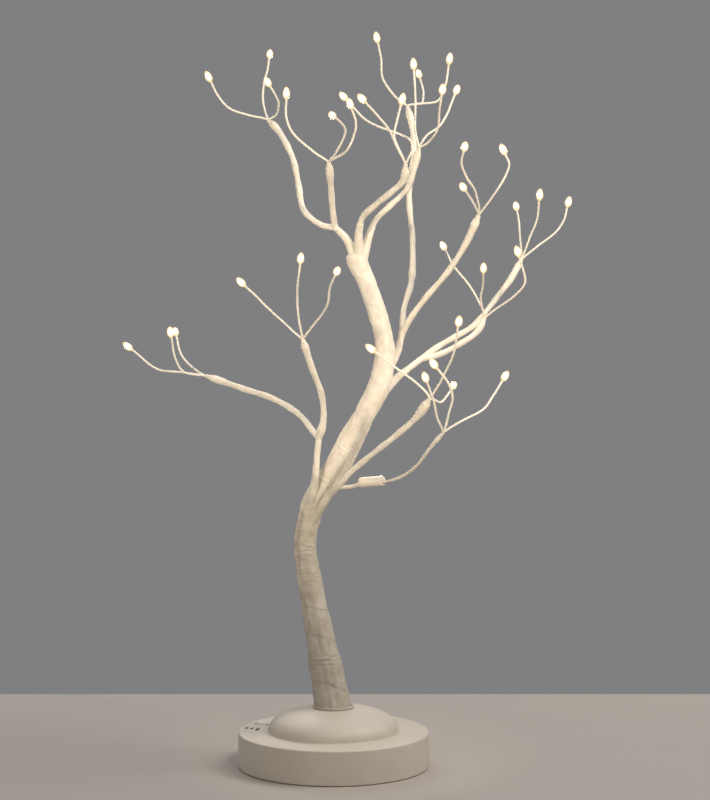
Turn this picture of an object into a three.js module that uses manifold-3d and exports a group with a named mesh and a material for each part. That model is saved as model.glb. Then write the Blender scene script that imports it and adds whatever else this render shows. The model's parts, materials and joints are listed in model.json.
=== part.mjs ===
// Lighted table tree: a round battery base, a paper-wrapped trunk, bendable limbs and warm lights.
// Millimetres, +Z up. The origin is the middle of the flat underside that the tree stands on.
import * as THREE from "three";
import { mergeVertices } from "three/addons/utils/BufferGeometryUtils.js";
import Module from "manifold-3d";

const wasm = await Module();
wasm.setup();

// Base
const BASE_WALL = 2.5;
const BASE_EDGE = 1;
const SKIRT_LIFT = 0.4;
const RING_WIDTH = 19;
const DOME_RISE = 15;
const DOME_POWER = 2.4;
const COLLAR_RADIUS = 13;
const SOCKET_DEPTH = 1.7;
const CLEARANCE = 0.3;

// Underside plate and its screws
const FLOOR_THICKNESS = 2.4;
const SCREW_INSET = 7.5;
const SCREW_ANGLES = [30, -30, -100, -170];
const SCREW_HEAD_RADIUS = 3;
const SCREW_HEAD_DEPTH = 1.4;
const SCREW_SHANK_RADIUS = 1.4;
const BOSS_RADIUS = 3.2;
const PILOT_RADIUS = 1.1;
const PILOT_DEPTH = 9;

// Batteries, their bay and door
const BATTERY_RADIUS = 7.25;
const BATTERY_LENGTH = 50.5;
const BATTERY_NUB_RADIUS = 2.7;
const BATTERY_NUB_LENGTH = 1;
const BATTERY_COUNT = 3;
const BAY_FRONT = 3;
const BAY_WALL = 1.5;
const BAY_MARGIN = 2;
const BATTERY_HEADROOM = 0.8;
const CONTACT_SPACE = 3;
const CONTACT_THICKNESS = 0.5;
const CONTACT_SIZE = 11;
const COIL_WIDE_RADIUS = 4;
const COIL_NARROW_RADIUS = 2.5;
const BUTTON_RADIUS = 2;
const DOOR_THICKNESS = 1.8;
const DOOR_RECESS = 0.3;
const DOOR_PIN_RADIUS = 0.6;
const DOOR_PIN_LENGTH = 1.2;
const NAIL_NOTCH = { width: 12, length: 3, depth: 0.9 };

// Circuit board
const BOARD = { length: 40, width: 24, thickness: 1.6 };
const BOARD_POST_RADIUS = 2;
const BOARD_POST_HEIGHT = 5.3;
const BOARD_POST_INSET = 3;
const BOARD_HOLE_RADIUS = 1.1;

// Slide switch
const SWITCH_ANGLE = 156;
const SWITCH_TRAVEL = 2.5;
const KNOB = { length: 5, width: 3.4, proud: 1.8 };
const KNOB_GROOVES = 3;
const KNOB_GROOVE_DEPTH = 0.5;
const KNOB_GROOVE_WIDTH = 0.6;
const SWITCH_BODY = { beyondSlot: 1.5, width: 6, height: 4.2 };
const SWITCH_PIN = { width: 0.8, length: 2.5, count: 3 };

// The whole tree across its limbs. The tables of the trunk and limbs were drawn for the second pair of sizes.
const TREE_WIDTH = 292;
const TREE_DEPTH = 224;
const DRAWN_WIDTH = 292;
const DRAWN_DEPTH = 224;

// Trunk: centre points from foot to top, with the wrapped radius at each. Heights count from the dome's top.
const TRUNK = [
  { at: [0, 0, -2], radius: 11.4 },
  { at: [-4, 2, 21], radius: 10 },
  { at: [-9, 4, 47], radius: 8.3 },
  { at: [-14, 6, 73], radius: 7.2 },
  { at: [-18, 7, 100], radius: 6.4 },
  { at: [-16, 6, 116], radius: 6.4 },
  { at: [-11, 4, 132], radius: 6.7 },
  { at: [-1, 1, 146], radius: 7.8 },
  { at: [10, -1, 167], radius: 7.6 },
  { at: [19, -3, 184], radius: 6.3 },
  { at: [27, -3, 199], radius: 6.7 },
  { at: [32, -2, 219], radius: 6.1 },
  { at: [31, 0, 235], radius: 5.4 },
  { at: [27, 2, 249], radius: 5.7 },
  { at: [22, 4, 264], radius: 5.5 },
  { at: [16, 5, 278], radius: 5.8 },
  { at: [13, 6, 287], radius: 5.8 },
];
const ARMATURE_RADIUS = 2.4;
const ARMATURE_TAIL = 9;
const ARMATURE_TOP_HEIGHT = 231;
const NUT = { acrossFlats: 11, height: 5 };

// Limbs, light wires and lights
const ROOT_RADIUS = 2.4;
const STUB_ROOT_RADIUS = 3.6;
const STEM_RADIUS = 2;
const SWELL_RADIUS = 2.6;
const SWELL_LENGTH = 12;
const TIP_RADIUS = 1.25;
const WIRE_RADIUS = 0.75;
const WIRE_INSET = 3;
const LIGHT_RADIUS = 2.2;
const LIGHT_LENGTH = 8;
const LIGHT_BASE_RADIUS = 0.9;
const DROP_OUTLINE = [[0.85, 0.2], [1, 0.45], [0.64, 0.85], [0, 1]];

// Wire joint sleeve on the thin stem
const SLEEVE = { radius: 3.2, bore: 1.45, length: 15.5, start: 0.172, rise: 1 };

// How finely the round forms are cut into flat faces
const BASE_SIDES = 40;
const EDGE_STEPS = 3;
const DOME_STEPS = 8;
const DOME_INNER_STEPS = 4;
const TRUNK_SIDES = 12;
const TRUNK_STEP = 11;
const ARMATURE_SIDES = 6;
const STEM_SIDES = 7;
const STEM_STEP = 10;
const WIRE_SIDES = 5;
const WIRE_STEP = 7.5;
const LIGHT_SIDES = 6;
const ROUND_SIDES = 16;
const SMALL_SIDES = 10;
const SECTION_SEED = 0.1;
const CURVE_POINTS = 16;
const SLEEVE_POINTS = 14;
const SEARCH_STEPS = 400;
const SEARCH_HALVINGS = 30;
const MERGE_DISTANCE = 1e-4;

// How far a cutting or joining body runs past the face that it meets
const OVERRUN = 1;

// Each limb leaves the trunk at a height above the dome, towards a side, and pivots at a reach past the wrap.
// Its routes are offsets: the shared stretch from the pivot, each stem from where the shared stretch ends,
// and each light wire from its stem's tip. A stem's own radius stands where it is thinner than the rest.
const LIMBS = {
  left: {
    trunkHeight: 146,
    towards: [-10, -9, 1],
    reach: 5.7,
    shared: [[1, -1, 14], [2, -2, 23]],
    stems: [
      {
        route: [[3, -4, 13], [2, -10, 28], [-4, -21, 46], [-9, -33, 63]],
        wires: [
          [[-2, -7, 12], [-3, -17, 28], [-1, -27, 46]],
          [[-9, 2, 8], [-23, 7, 21], [-35, 13, 32]],
          [[8, -11, 11], [15, -27, 22], [17, -39, 33], [20, -48, 40]],
        ],
      },
      {
        route: [[-4, 5, 5], [-12, 13, 14], [-28, 25, 23], [-49, 40, 29], [-73, 56, 36]],
        wires: [
          [[-15, 4, 2], [-32, 7, 4], [-48, 10, 16]],
          [[-14, -4, 3], [-19, -10, 12], [-21, -16, 25]],
          [[-10, 12, 5], [-18, 26, 13], [-22, 40, 24]],
        ],
      },
    ],
  },
  top_left: {
    trunkHeight: 287,
    towards: [-5, -1, 7],
    reach: 3.5,
    shared: [[-6, 3, 6]],
    stems: [
      {
        route: [[-9, 4, 2], [-20, 13, 11], [-24, 27, 28], [-28, 41, 45], [-37, 55, 62], [-44, 62, 70]],
        wires: [
          [[-13, 0, 3], [-26, 0, 8], [-33, 0, 16], [-37, 0, 24]],
          [[-4, 12, 12], [-4, 25, 25], [-2, 32, 34], [-1, 38, 42]],
          [[5, -5, 3], [7, -12, 10], [5, -17, 15], [2, -21, 20]],
        ],
      },
      {
        route: [[-2, -9, 12], [-3, -22, 26], [-4, -37, 40]],
        wires: [
          [[-9, 1, 6], [-22, 5, 18], [-26, 7, 28], [-26, 9, 38]],
          [[4, -9, 5], [10, -21, 17], [8, -31, 22], [4, -41, 25]],
          [[10, -2, 6], [16, -6, 18], [16, -10, 25], [14, -14, 31]],
        ],
      },
    ],
  },
  top_middle: {
    trunkHeight: 287,
    towards: [3, -8, 11],
    reach: 7.7,
    shared: [],
    stems: [
      {
        route: [[2, -6, 9], [10, -16, 17], [20, -26, 25], [27, -33, 32], [28, -40, 41]],
        wires: [
          [[-6, -10, 11], [-10, -19, 20], [-17, -28, 28], [-24, -36, 35]],
          [[-5, -1, 11], [-7, 0, 17], [-5, 1, 27], [-3, 2, 35]],
          [[4, 4, 9], [3, 9, 15], [-2, 13, 18], [-12, 18, 22], [-24, 26, 28], [-35, 34, 40]],
        ],
      },
    ],
  },
  top_right: {
    trunkHeight: 287,
    towards: [9, -1, 8],
    reach: 6.4,
    shared: [],
    stems: [
      {
        route: [[4, 1, 10], [15, 2, 21], [24, 2, 30], [28, -1, 42], [31, -4, 55]],
        wires: [
          [[-2, 1, 9], [-2, 4, 29], [-3, 7, 48]],
          [[5, -5, 3], [11, -12, 11], [12, -21, 22], [13, -29, 31]],
          [[5, 4, 8], [12, 8, 13], [18, 15, 22], [23, 23, 34]],
        ],
      },
    ],
  },
  right_upper: {
    trunkHeight: 224,
    towards: [8, 8, 0],
    reach: 5.4,
    shared: [[2, 1, 8]],
    stems: [
      {
        route: [
          [2, 9, 18], [7, 19, 35], [8, 31, 60], [6, 41, 87],
          [7, 44, 103], [9, 47, 118], [8, 51, 134], [5, 55, 147],
        ],
        wires: [
          [[-8, -3, 6], [-16, -6, 18], [-17, -9, 30], [-19, -13, 39]],
          [[5, 7, 2], [10, 17, 3], [11, 27, 11], [9, 35, 20]],
          [[10, 4, 2], [20, 7, 4], [25, 10, 14], [27, 12, 27]],
        ],
      },
      {
        route: [[5, -3, 11], [15, -6, 25], [29, -13, 42], [39, -19, 58], [47, -26, 76]],
        wires: [
          [[-2, -12, 13], [-9, -24, 24], [-12, -32, 32], [-11, -39, 38]],
          [[8, 1, 11], [17, 4, 25], [19, 6, 32], [17, 8, 37]],
          [[-4, -10, 8], [-9, -20, 15]],
        ],
      },
    ],
  },
  right_middle: {
    trunkHeight: 209,
    towards: [12, 8, 0],
    reach: 7.2,
    shared: [[13, 10, 9]],
    stems: [
      {
        route: [
          [10, 8, 7], [23, 18, 14], [34, 26, 20], [43, 34, 29],
          [52, 42, 40], [60, 49, 50], [67, 56, 62],
        ],
        wires: [
          [[0, 11, 14], [0, 20, 24], [-1, 27, 32]],
          [[6, -1, 16], [10, -3, 27], [11, -6, 38]],
          [[11, 3, 9], [24, 8, 19], [29, 12, 27], [31, 15, 34]],
        ],
      },
      {
        route: [[12, 6, 3], [25, 15, 9], [36, 23, 16], [42, 30, 25]],
        wires: [
          [[-8, 9, 19], [-19, 19, 33], [-24, 27, 43]],
          [[-3, -9, 13], [-2, -15, 21], [-2, -20, 29]],
          [[7, -2, 6], [19, -8, 15], [25, -12, 23], [23, -15, 33], [21, -17, 39]],
        ],
      },
    ],
  },
  right_lower: {
    trunkHeight: 136,
    towards: [7, -11, 0],
    reach: 5.9,
    shared: [[4, -5, 4]],
    stems: [
      {
        route: [[8, -7, 10], [20, -16, 21], [36, -29, 35], [49, -41, 48], [56, -49, 59]],
        wires: [
          [[-8, 0, 9], [-19, 1, 17], [-32, 2, 27]],
          [[6, 8, -3], [11, 20, 0], [14, 29, 4]],
          [[4, -6, 7], [8, -13, 15], [13, -24, 28], [15, -36, 44]],
        ],
      },
      {
        spliced: true,
        radius: 0.9,
        route: [
          [8, -3, 1],
          [15, -7, 3],
          [29, -13, 5],
          [40, -27, 10],
          [49, -45, 19],
          [55, -59, 29],
          [63, -70, 40],
        ],
        wires: [
          [[3, -5, 11], [5, -11, 22], [2, -16, 31], [-4, -21, 39]],
          [[10, 4, 6], [24, 11, 13], [30, 17, 20], [36, 23, 29]],
          [[-4, -9, 10], [-6, -16, 20], [-10, -23, 31]],
        ],
      },
    ],
  },
};

// Worked out from the sizes above: the bay is fitted round the batteries, and the base round the bay
const UP = new THREE.Vector3(0, 0, 1);
const BATTERY_PITCH = 2 * BATTERY_RADIUS + CLEARANCE;
const BAY_LENGTH = BATTERY_LENGTH + 2 * CONTACT_SPACE;
const BAY_WIDTH = BATTERY_COUNT * BATTERY_PITCH + CLEARANCE;
const BAY_BACK = BAY_FRONT + BAY_WIDTH;
const BAY_MIDDLE_Y = BAY_FRONT + BAY_WIDTH / 2;
const DOOR_TOP = DOOR_RECESS + DOOR_THICKNESS;
const DOOR_HINGE_Y = BAY_FRONT + CLEARANCE + DOOR_THICKNESS / 2;
const DOOR_HINGE_Z = DOOR_RECESS + DOOR_THICKNESS / 2;
const BATTERY_AXIS_Z = DOOR_TOP + CLEARANCE + BATTERY_RADIUS;
const BAY_CEILING = BATTERY_AXIS_Z + BATTERY_RADIUS + BATTERY_HEADROOM;
const BAY_TOP = BAY_CEILING + BAY_WALL;
const CEILING = BAY_TOP + CLEARANCE;
const BASE_HEIGHT = CEILING + BASE_WALL;
const INNER_RADIUS = Math.hypot(BAY_LENGTH / 2, BAY_BACK) + BAY_MARGIN;
const BASE_RADIUS = INNER_RADIUS + BASE_WALL;
const DOME_RADIUS = BASE_RADIUS - RING_WIDTH;
const DOME_TOP = BASE_HEIGHT + DOME_RISE;
const FOOT_HEIGHT = DOME_TOP - SOCKET_DEPTH;
const DOME_UNDERSIDE = FOOT_HEIGHT - BASE_WALL;
const SCREW_CIRCLE = INNER_RADIUS - SCREW_INSET;
const SWITCH_RADIUS = BASE_RADIUS - RING_WIDTH / 2;
const SWITCH_LENGTH = KNOB.length + 2 * (SWITCH_TRAVEL + SWITCH_BODY.beyondSlot);
const BOARD_CENTRE_Y = (BAY_FRONT - INNER_RADIUS) / 2;

const paper = new THREE.MeshStandardMaterial({ color: 0xe9dec8, roughness: 0.92, metalness: 0 });
const ivoryPlastic = new THREE.MeshStandardMaterial({ color: 0xd9ccb8, roughness: 0.55, metalness: 0 });
const lamp = new THREE.MeshStandardMaterial({ color: 0xffe7b8, roughness: 0.25, metalness: 0 });
const steel = new THREE.MeshStandardMaterial({ color: 0x9a9a96, roughness: 0.4, metalness: 1 });
const springSteel = new THREE.MeshStandardMaterial({ color: 0xc9c7c0, roughness: 0.3, metalness: 1 });
const batteryWrap = new THREE.MeshStandardMaterial({ color: 0x4b5560, roughness: 0.4, metalness: 0.3 });
const boardGreen = new THREE.MeshStandardMaterial({ color: 0x2f5d3a, roughness: 0.5, metalness: 0 });
const sleevePlastic = new THREE.MeshStandardMaterial({ color: 0xf0e8d8, roughness: 0.5, metalness: 0 });

const model = new THREE.Group();

function add(name, geometry, material, parent = model) {
  const mesh = new THREE.Mesh(geometry, material);
  mesh.name = name;
  parent.add(mesh);
  return mesh;
}

// Joining and cutting
function solid(geometry) {
  const bare = geometry.index ? geometry.toNonIndexed() : geometry.clone();
  const merged = mergeVertices(
    new THREE.BufferGeometry().setAttribute("position", bare.getAttribute("position")),
    MERGE_DISTANCE,
  );
  return new wasm.Manifold(
    new wasm.Mesh({
      numProp: 3,
      vertProperties: merged.attributes.position.array,
      triVerts: new Uint32Array(merged.index.array),
    }),
  );
}

function geometryOf(shape) {
  const mesh = shape.getMesh();
  const corners = new Float32Array(mesh.numVert * 3);
  for (let i = 0; i < mesh.numVert; i++) {
    const first = i * mesh.numProp;
    corners.set(mesh.vertProperties.subarray(first, first + 3), i * 3);
  }
  return new THREE.BufferGeometry()
    .setAttribute("position", new THREE.BufferAttribute(corners, 3))
    .setIndex(new THREE.BufferAttribute(mesh.triVerts, 1));
}

function joined(geometries) {
  return geometries.map(solid).reduce((whole, piece) => whole.add(piece));
}

// Simple bodies
function block(x, y, z) {
  return new THREE.BoxGeometry(x[1] - x[0], y[1] - y[0], z[1] - z[0]).translate(
    (x[0] + x[1]) / 2,
    (y[0] + y[1]) / 2,
    (z[0] + z[1]) / 2,
  );
}

function upright(radius, low, high, sides = ROUND_SIDES) {
  return new THREE.CylinderGeometry(radius, radius, high - low, sides)
    .rotateX(Math.PI / 2)
    .translate(0, 0, (low + high) / 2);
}

function lengthwise(startRadius, endRadius, start, end, sides = ROUND_SIDES) {
  const reversed = end < start;
  const low = Math.min(start, end);
  const high = Math.max(start, end);
  const [lowRadius, highRadius] = reversed ? [endRadius, startRadius] : [startRadius, endRadius];
  return new THREE.CylinderGeometry(highRadius, lowRadius, high - low, sides)
    .rotateZ(-Math.PI / 2)
    .translate((low + high) / 2, 0, 0);
}

function onCircle(radius, degrees) {
  const angle = THREE.MathUtils.degToRad(degrees);
  return [radius * Math.cos(angle), radius * Math.sin(angle)];
}

function revolved(profile, sides) {
  const points = profile.map(([radius, height]) => new THREE.Vector2(radius, height));
  return new THREE.LatheGeometry(points, sides).rotateX(Math.PI / 2);
}

// A round tube along a curve, whose radius follows radiusAt from 0 at the start to 1 at the end.
// A thin section is extruded along the curve, and each of its rings is then widened about its own centre.
function tapered(curve, radiusAt, step, sides) {
  const steps = Math.max(2, Math.ceil(curve.getLength() / step));
  const corners = Array.from({ length: sides }, (_, i) => {
    const angle = (2 * Math.PI * i) / sides;
    return new THREE.Vector2(SECTION_SEED * Math.cos(angle), SECTION_SEED * Math.sin(angle));
  });
  const tube = new THREE.ExtrudeGeometry(new THREE.Shape(corners), {
    steps,
    extrudePath: curve,
    bevelEnabled: false,
  });
  const centres = curve.getSpacedPoints(steps);
  const places = tube.getAttribute("position");
  const point = new THREE.Vector3();
  for (let i = 0; i < places.count; i++) {
    point.fromBufferAttribute(places, i);
    const distances = centres.map((centre) => centre.distanceToSquared(point));
    const ring = distances.indexOf(Math.min(...distances));
    const widening = radiusAt(ring / steps) / SECTION_SEED;
    point.sub(centres[ring]).multiplyScalar(widening).add(centres[ring]);
    places.setXYZ(i, point.x, point.y, point.z);
  }
  return tube;
}

function smooth(points) {
  return new THREE.CatmullRomCurve3(points, false, "centripetal");
}

function stretch(curve, from, to, count) {
  const points = Array.from({ length: count + 1 }, (_, i) =>
    curve.getPointAt(THREE.MathUtils.lerp(from, to, i / count)),
  );
  return smooth(points);
}

// A table's offsets as points, spread to the width and depth of the tree
function offsets(start, route) {
  const wider = TREE_WIDTH / DRAWN_WIDTH;
  const deeper = TREE_DEPTH / DRAWN_DEPTH;
  return route.map(([x, y, z]) => new THREE.Vector3(x * wider, y * deeper, z).add(start));
}

// The trunk's centre line, and the wrapped radius along it
const domeTop = new THREE.Vector3(0, 0, DOME_TOP);
const trunkPoints = offsets(domeTop, TRUNK.map(({ at }) => at));
const trunkCurve = smooth(trunkPoints);
const trunkStations = trunkPoints.map((goal) => {
  const tries = Array.from({ length: SEARCH_STEPS + 1 }, (_, i) => i / SEARCH_STEPS);
  const gaps = tries.map((u) => trunkCurve.getPointAt(u).distanceTo(goal));
  return tries[gaps.indexOf(Math.min(...gaps))];
});

function trunkRadius(u) {
  const next = Math.max(1, trunkStations.findIndex((station) => station >= u));
  const low = trunkStations[next - 1];
  const share = THREE.MathUtils.smoothstep(u, low, trunkStations[next]);
  return THREE.MathUtils.lerp(TRUNK[next - 1].radius, TRUNK[next].radius, share);
}

function trunkAt(heightAboveDome) {
  const height = DOME_TOP + heightAboveDome;
  let low = 0;
  let high = 1;
  for (let i = 0; i < SEARCH_HALVINGS; i++) {
    const middle = (low + high) / 2;
    if (trunkCurve.getPointAt(middle).z < height) low = middle;
    else high = middle;
  }
  return { centre: trunkCurve.getPointAt(low), radius: trunkRadius(low), share: low };
}

function limbPlaces(limb) {
  const { centre, radius } = trunkAt(limb.trunkHeight);
  const side = new THREE.Vector3(...limb.towards).normalize();
  const pivot = centre.clone().addScaledVector(side, radius + limb.reach);
  const stubEnd = pivot.clone().addScaledVector(side, -ROOT_RADIUS - CLEARANCE);
  return { centre, pivot, stubEnd };
}

// The wrapped trunk, with a stub for each limb and a bore for the armature
function armatureCurve() {
  const top = trunkAt(ARMATURE_TOP_HEIGHT).share;
  const foot = trunkCurve.getPointAt(0);
  const tail = foot.clone().addScaledVector(UP, -ARMATURE_TAIL);
  const inside = stretch(trunkCurve, 0, top, CURVE_POINTS).points;
  return smooth([tail, ...inside]);
}

function trunk() {
  const below = TRUNK[0].radius;
  const foot = trunkPoints[0].clone().addScaledVector(UP, -below);
  const line = smooth([foot, ...trunkCurve.points]);
  const start = below / line.getLength();
  const radiusAt = (u) => trunkRadius(Math.max(0, (u - start) / (1 - start)));
  const wrapped = tapered(line, radiusAt, TRUNK_STEP, TRUNK_SIDES);
  const stubs = Object.values(LIMBS).map((limb) => {
    const { centre, stubEnd } = limbPlaces(limb);
    const stub = new THREE.LineCurve3(centre, stubEnd);
    const stubRadiusAt = (u) => THREE.MathUtils.lerp(STUB_ROOT_RADIUS, ROOT_RADIUS, u);
    return tapered(stub, stubRadiusAt, stub.getLength() / 2, STEM_SIDES);
  });
  const reach = 2 * BASE_RADIUS;
  const underFoot = block([-reach, reach], [-reach, reach], [-reach, FOOT_HEIGHT + CLEARANCE]);
  const bore = tapered(armatureCurve(), () => ARMATURE_RADIUS + CLEARANCE, TRUNK_STEP, ARMATURE_SIDES);
  return joined([wrapped, ...stubs]).subtract(solid(underFoot)).subtract(solid(bore));
}

// The base housing: a ring with a low dome, turned in one profile, with a slot, screw bosses and a socket
function domeLine(radius, rise, from, to, steps) {
  return Array.from({ length: steps + 1 }, (_, i) => {
    const across = THREE.MathUtils.lerp(from, to, i / steps);
    const share = Math.min(1, across / radius);
    return [across, rise * (1 - share ** DOME_POWER) ** (1 / DOME_POWER)];
  });
}

function raised(line, height) {
  return line.map(([across, rise]) => [across, rise + height]);
}

function housing() {
  const edge = Array.from({ length: EDGE_STEPS + 1 }, (_, i) => {
    const angle = (Math.PI / 2) * (i / EDGE_STEPS);
    return [
      BASE_RADIUS - BASE_EDGE + BASE_EDGE * Math.cos(angle),
      BASE_HEIGHT - BASE_EDGE + BASE_EDGE * Math.sin(angle),
    ];
  });
  const boreRadius = ARMATURE_RADIUS + CLEARANCE;
  const socketRadius = TRUNK[0].radius + CLEARANCE;
  const inner = DOME_RADIUS - BASE_WALL;
  const outside = domeLine(DOME_RADIUS, DOME_RISE, DOME_RADIUS, COLLAR_RADIUS, DOME_STEPS);
  const inside = domeLine(inner, DOME_UNDERSIDE - CEILING, boreRadius, inner, DOME_INNER_STEPS);
  const profile = [
    [INNER_RADIUS, SKIRT_LIFT],
    [BASE_RADIUS, SKIRT_LIFT],
    ...edge,
    ...raised(outside, BASE_HEIGHT),
    [COLLAR_RADIUS, DOME_TOP],
    [socketRadius, DOME_TOP],
    [socketRadius, FOOT_HEIGHT],
    [boreRadius, FOOT_HEIGHT],
    ...raised(inside, CEILING),
    [INNER_RADIUS, CEILING],
    [INNER_RADIUS, SKIRT_LIFT],
  ];
  let shell = solid(revolved(profile, BASE_SIDES));
  for (const angle of SCREW_ANGLES) {
    const [x, y] = onCircle(SCREW_CIRCLE, angle);
    const foot = FLOOR_THICKNESS + CLEARANCE;
    const boss = upright(BOSS_RADIUS, foot, CEILING + BASE_WALL / 2, SMALL_SIDES).translate(x, y, 0);
    const pilot = upright(PILOT_RADIUS, foot - OVERRUN, foot + PILOT_DEPTH, SMALL_SIDES).translate(x, y, 0);
    shell = shell.add(solid(boss)).subtract(solid(pilot));
  }
  const slotLength = KNOB.length + 2 * SWITCH_TRAVEL + 2 * CLEARANCE;
  const slotWidth = KNOB.width + 2 * CLEARANCE;
  const slot = switchBlock(slotLength, slotWidth, CEILING - OVERRUN, BASE_HEIGHT + OVERRUN);
  return shell.subtract(solid(slot));
}

// A block centred on the switch, with its length across the ring
function switchBlock(length, width, low, high) {
  return block([-length / 2, length / 2], [-width / 2, width / 2], [low, high])
    .translate(SWITCH_RADIUS, 0, 0)
    .rotateZ(THREE.MathUtils.degToRad(SWITCH_ANGLE));
}

function switchKnob() {
  const low = CEILING;
  const high = BASE_HEIGHT + KNOB.proud;
  let knob = solid(switchBlock(KNOB.length, KNOB.width, low, high));
  const pitch = KNOB.length / (KNOB_GROOVES + 1);
  for (let i = 0; i < KNOB_GROOVES; i++) {
    const middle = (i + 1) * pitch - KNOB.length / 2;
    const groove = block(
      [middle - KNOB_GROOVE_WIDTH / 2, middle + KNOB_GROOVE_WIDTH / 2],
      [-KNOB.width, KNOB.width],
      [high - KNOB_GROOVE_DEPTH, high + OVERRUN],
    );
    groove.translate(SWITCH_RADIUS, 0, 0).rotateZ(THREE.MathUtils.degToRad(SWITCH_ANGLE));
    knob = knob.subtract(solid(groove));
  }
  return knob;
}

function slideSwitch() {
  const high = CEILING - CLEARANCE;
  const low = high - SWITCH_BODY.height;
  let body = solid(switchBlock(SWITCH_LENGTH, SWITCH_BODY.width, low, high));
  const pitch = SWITCH_LENGTH / (SWITCH_PIN.count + 1);
  for (let i = 0; i < SWITCH_PIN.count; i++) {
    const middle = (i + 1) * pitch - SWITCH_LENGTH / 2;
    const half = SWITCH_PIN.width / 2;
    const height = [low - SWITCH_PIN.length, low + OVERRUN];
    const pin = block([middle - half, middle + half], [-half, half], height);
    pin.translate(SWITCH_RADIUS, 0, 0).rotateZ(THREE.MathUtils.degToRad(SWITCH_ANGLE));
    body = body.add(solid(pin));
  }
  return body;
}

// The underside plate, with the battery bay, screw holes and board posts moulded on
function boardCorners() {
  const x = BOARD.length / 2 - BOARD_POST_INSET;
  const y = BOARD.width / 2 - BOARD_POST_INSET;
  return [[x, y], [-x, y], [-x, -y], [x, -y]].map(([dx, dy]) => [dx, BOARD_CENTRE_Y + dy]);
}

function floorPlate() {
  const plateRadius = INNER_RADIUS - CLEARANCE;
  const plate = upright(plateRadius, 0, FLOOR_THICKNESS, BASE_SIDES);
  const halfLength = BAY_LENGTH / 2;
  const box = block(
    [-halfLength - BAY_WALL, halfLength + BAY_WALL],
    [BAY_FRONT - BAY_WALL, BAY_BACK + BAY_WALL],
    [0, BAY_TOP],
  );
  const within = upright(plateRadius, -OVERRUN, BAY_TOP + OVERRUN, BASE_SIDES);
  const inside = block([-halfLength, halfLength], [BAY_FRONT, BAY_BACK], [-OVERRUN, BAY_CEILING]);
  let floor = solid(plate).add(solid(box).intersect(solid(within))).subtract(solid(inside));
  for (const side of [-1, 1]) {
    const reach = DOOR_PIN_RADIUS + CLEARANCE;
    const wall = [side * (halfLength - OVERRUN), side * (halfLength - CLEARANCE + DOOR_PIN_LENGTH)];
    const notch = block(
      [Math.min(...wall), Math.max(...wall)],
      [DOOR_HINGE_Y - reach, DOOR_HINGE_Y + reach],
      [DOOR_HINGE_Z - reach, DOOR_HINGE_Z + reach],
    );
    floor = floor.subtract(solid(notch));
  }
  for (const angle of SCREW_ANGLES) {
    const [x, y] = onCircle(SCREW_CIRCLE, angle);
    const through = FLOOR_THICKNESS + OVERRUN;
    const shank = upright(SCREW_SHANK_RADIUS, -OVERRUN, through, SMALL_SIDES).translate(x, y, 0);
    const head = upright(SCREW_HEAD_RADIUS, -OVERRUN, SCREW_HEAD_DEPTH, SMALL_SIDES).translate(x, y, 0);
    floor = floor.subtract(solid(shank)).subtract(solid(head));
  }
  for (const [x, y] of boardCorners()) {
    const top = FLOOR_THICKNESS + BOARD_POST_HEIGHT;
    const post = upright(BOARD_POST_RADIUS, FLOOR_THICKNESS / 2, top, SMALL_SIDES).translate(x, y, 0);
    floor = floor.add(solid(post));
  }
  return floor;
}

function batteryDoor() {
  const halfLength = BAY_LENGTH / 2 - CLEARANCE;
  const back = BAY_BACK - CLEARANCE;
  const panel = block([-halfLength, halfLength], [DOOR_HINGE_Y, back], [DOOR_RECESS, DOOR_TOP]);
  const knuckle = lengthwise(DOOR_THICKNESS / 2, DOOR_THICKNESS / 2, -halfLength, halfLength);
  const pinEnd = halfLength + DOOR_PIN_LENGTH - CLEARANCE;
  const pin = lengthwise(DOOR_PIN_RADIUS, DOOR_PIN_RADIUS, -pinEnd, pinEnd, SMALL_SIDES);
  const notch = block(
    [-NAIL_NOTCH.width / 2, NAIL_NOTCH.width / 2],
    [back - NAIL_NOTCH.length, back + OVERRUN],
    [DOOR_RECESS - OVERRUN, DOOR_RECESS + NAIL_NOTCH.depth],
  );
  const hinge = [knuckle, pin].map((shape) => shape.translate(0, DOOR_HINGE_Y, DOOR_HINGE_Z));
  return joined([panel, ...hinge]).subtract(solid(notch));
}

// Batteries lie side by side and turn end for end, so that their contacts put them in series
function batteryY(index) {
  return BAY_MIDDLE_Y + (index - (BATTERY_COUNT - 1) / 2) * BATTERY_PITCH;
}

function plusSide(index) {
  return index % 2 === 0 ? 1 : -1;
}

function battery(index) {
  const side = plusSide(index);
  const end = BATTERY_LENGTH / 2;
  const shoulder = end - BATTERY_NUB_LENGTH;
  const can = lengthwise(BATTERY_RADIUS, BATTERY_RADIUS, -side * end, side * shoulder);
  const nub = lengthwise(BATTERY_NUB_RADIUS, BATTERY_NUB_RADIUS, side * (shoulder - OVERRUN), side * end);
  const shapes = [can, nub].map((shape) => shape.translate(0, batteryY(index), BATTERY_AXIS_Z));
  return joined(shapes);
}

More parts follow.
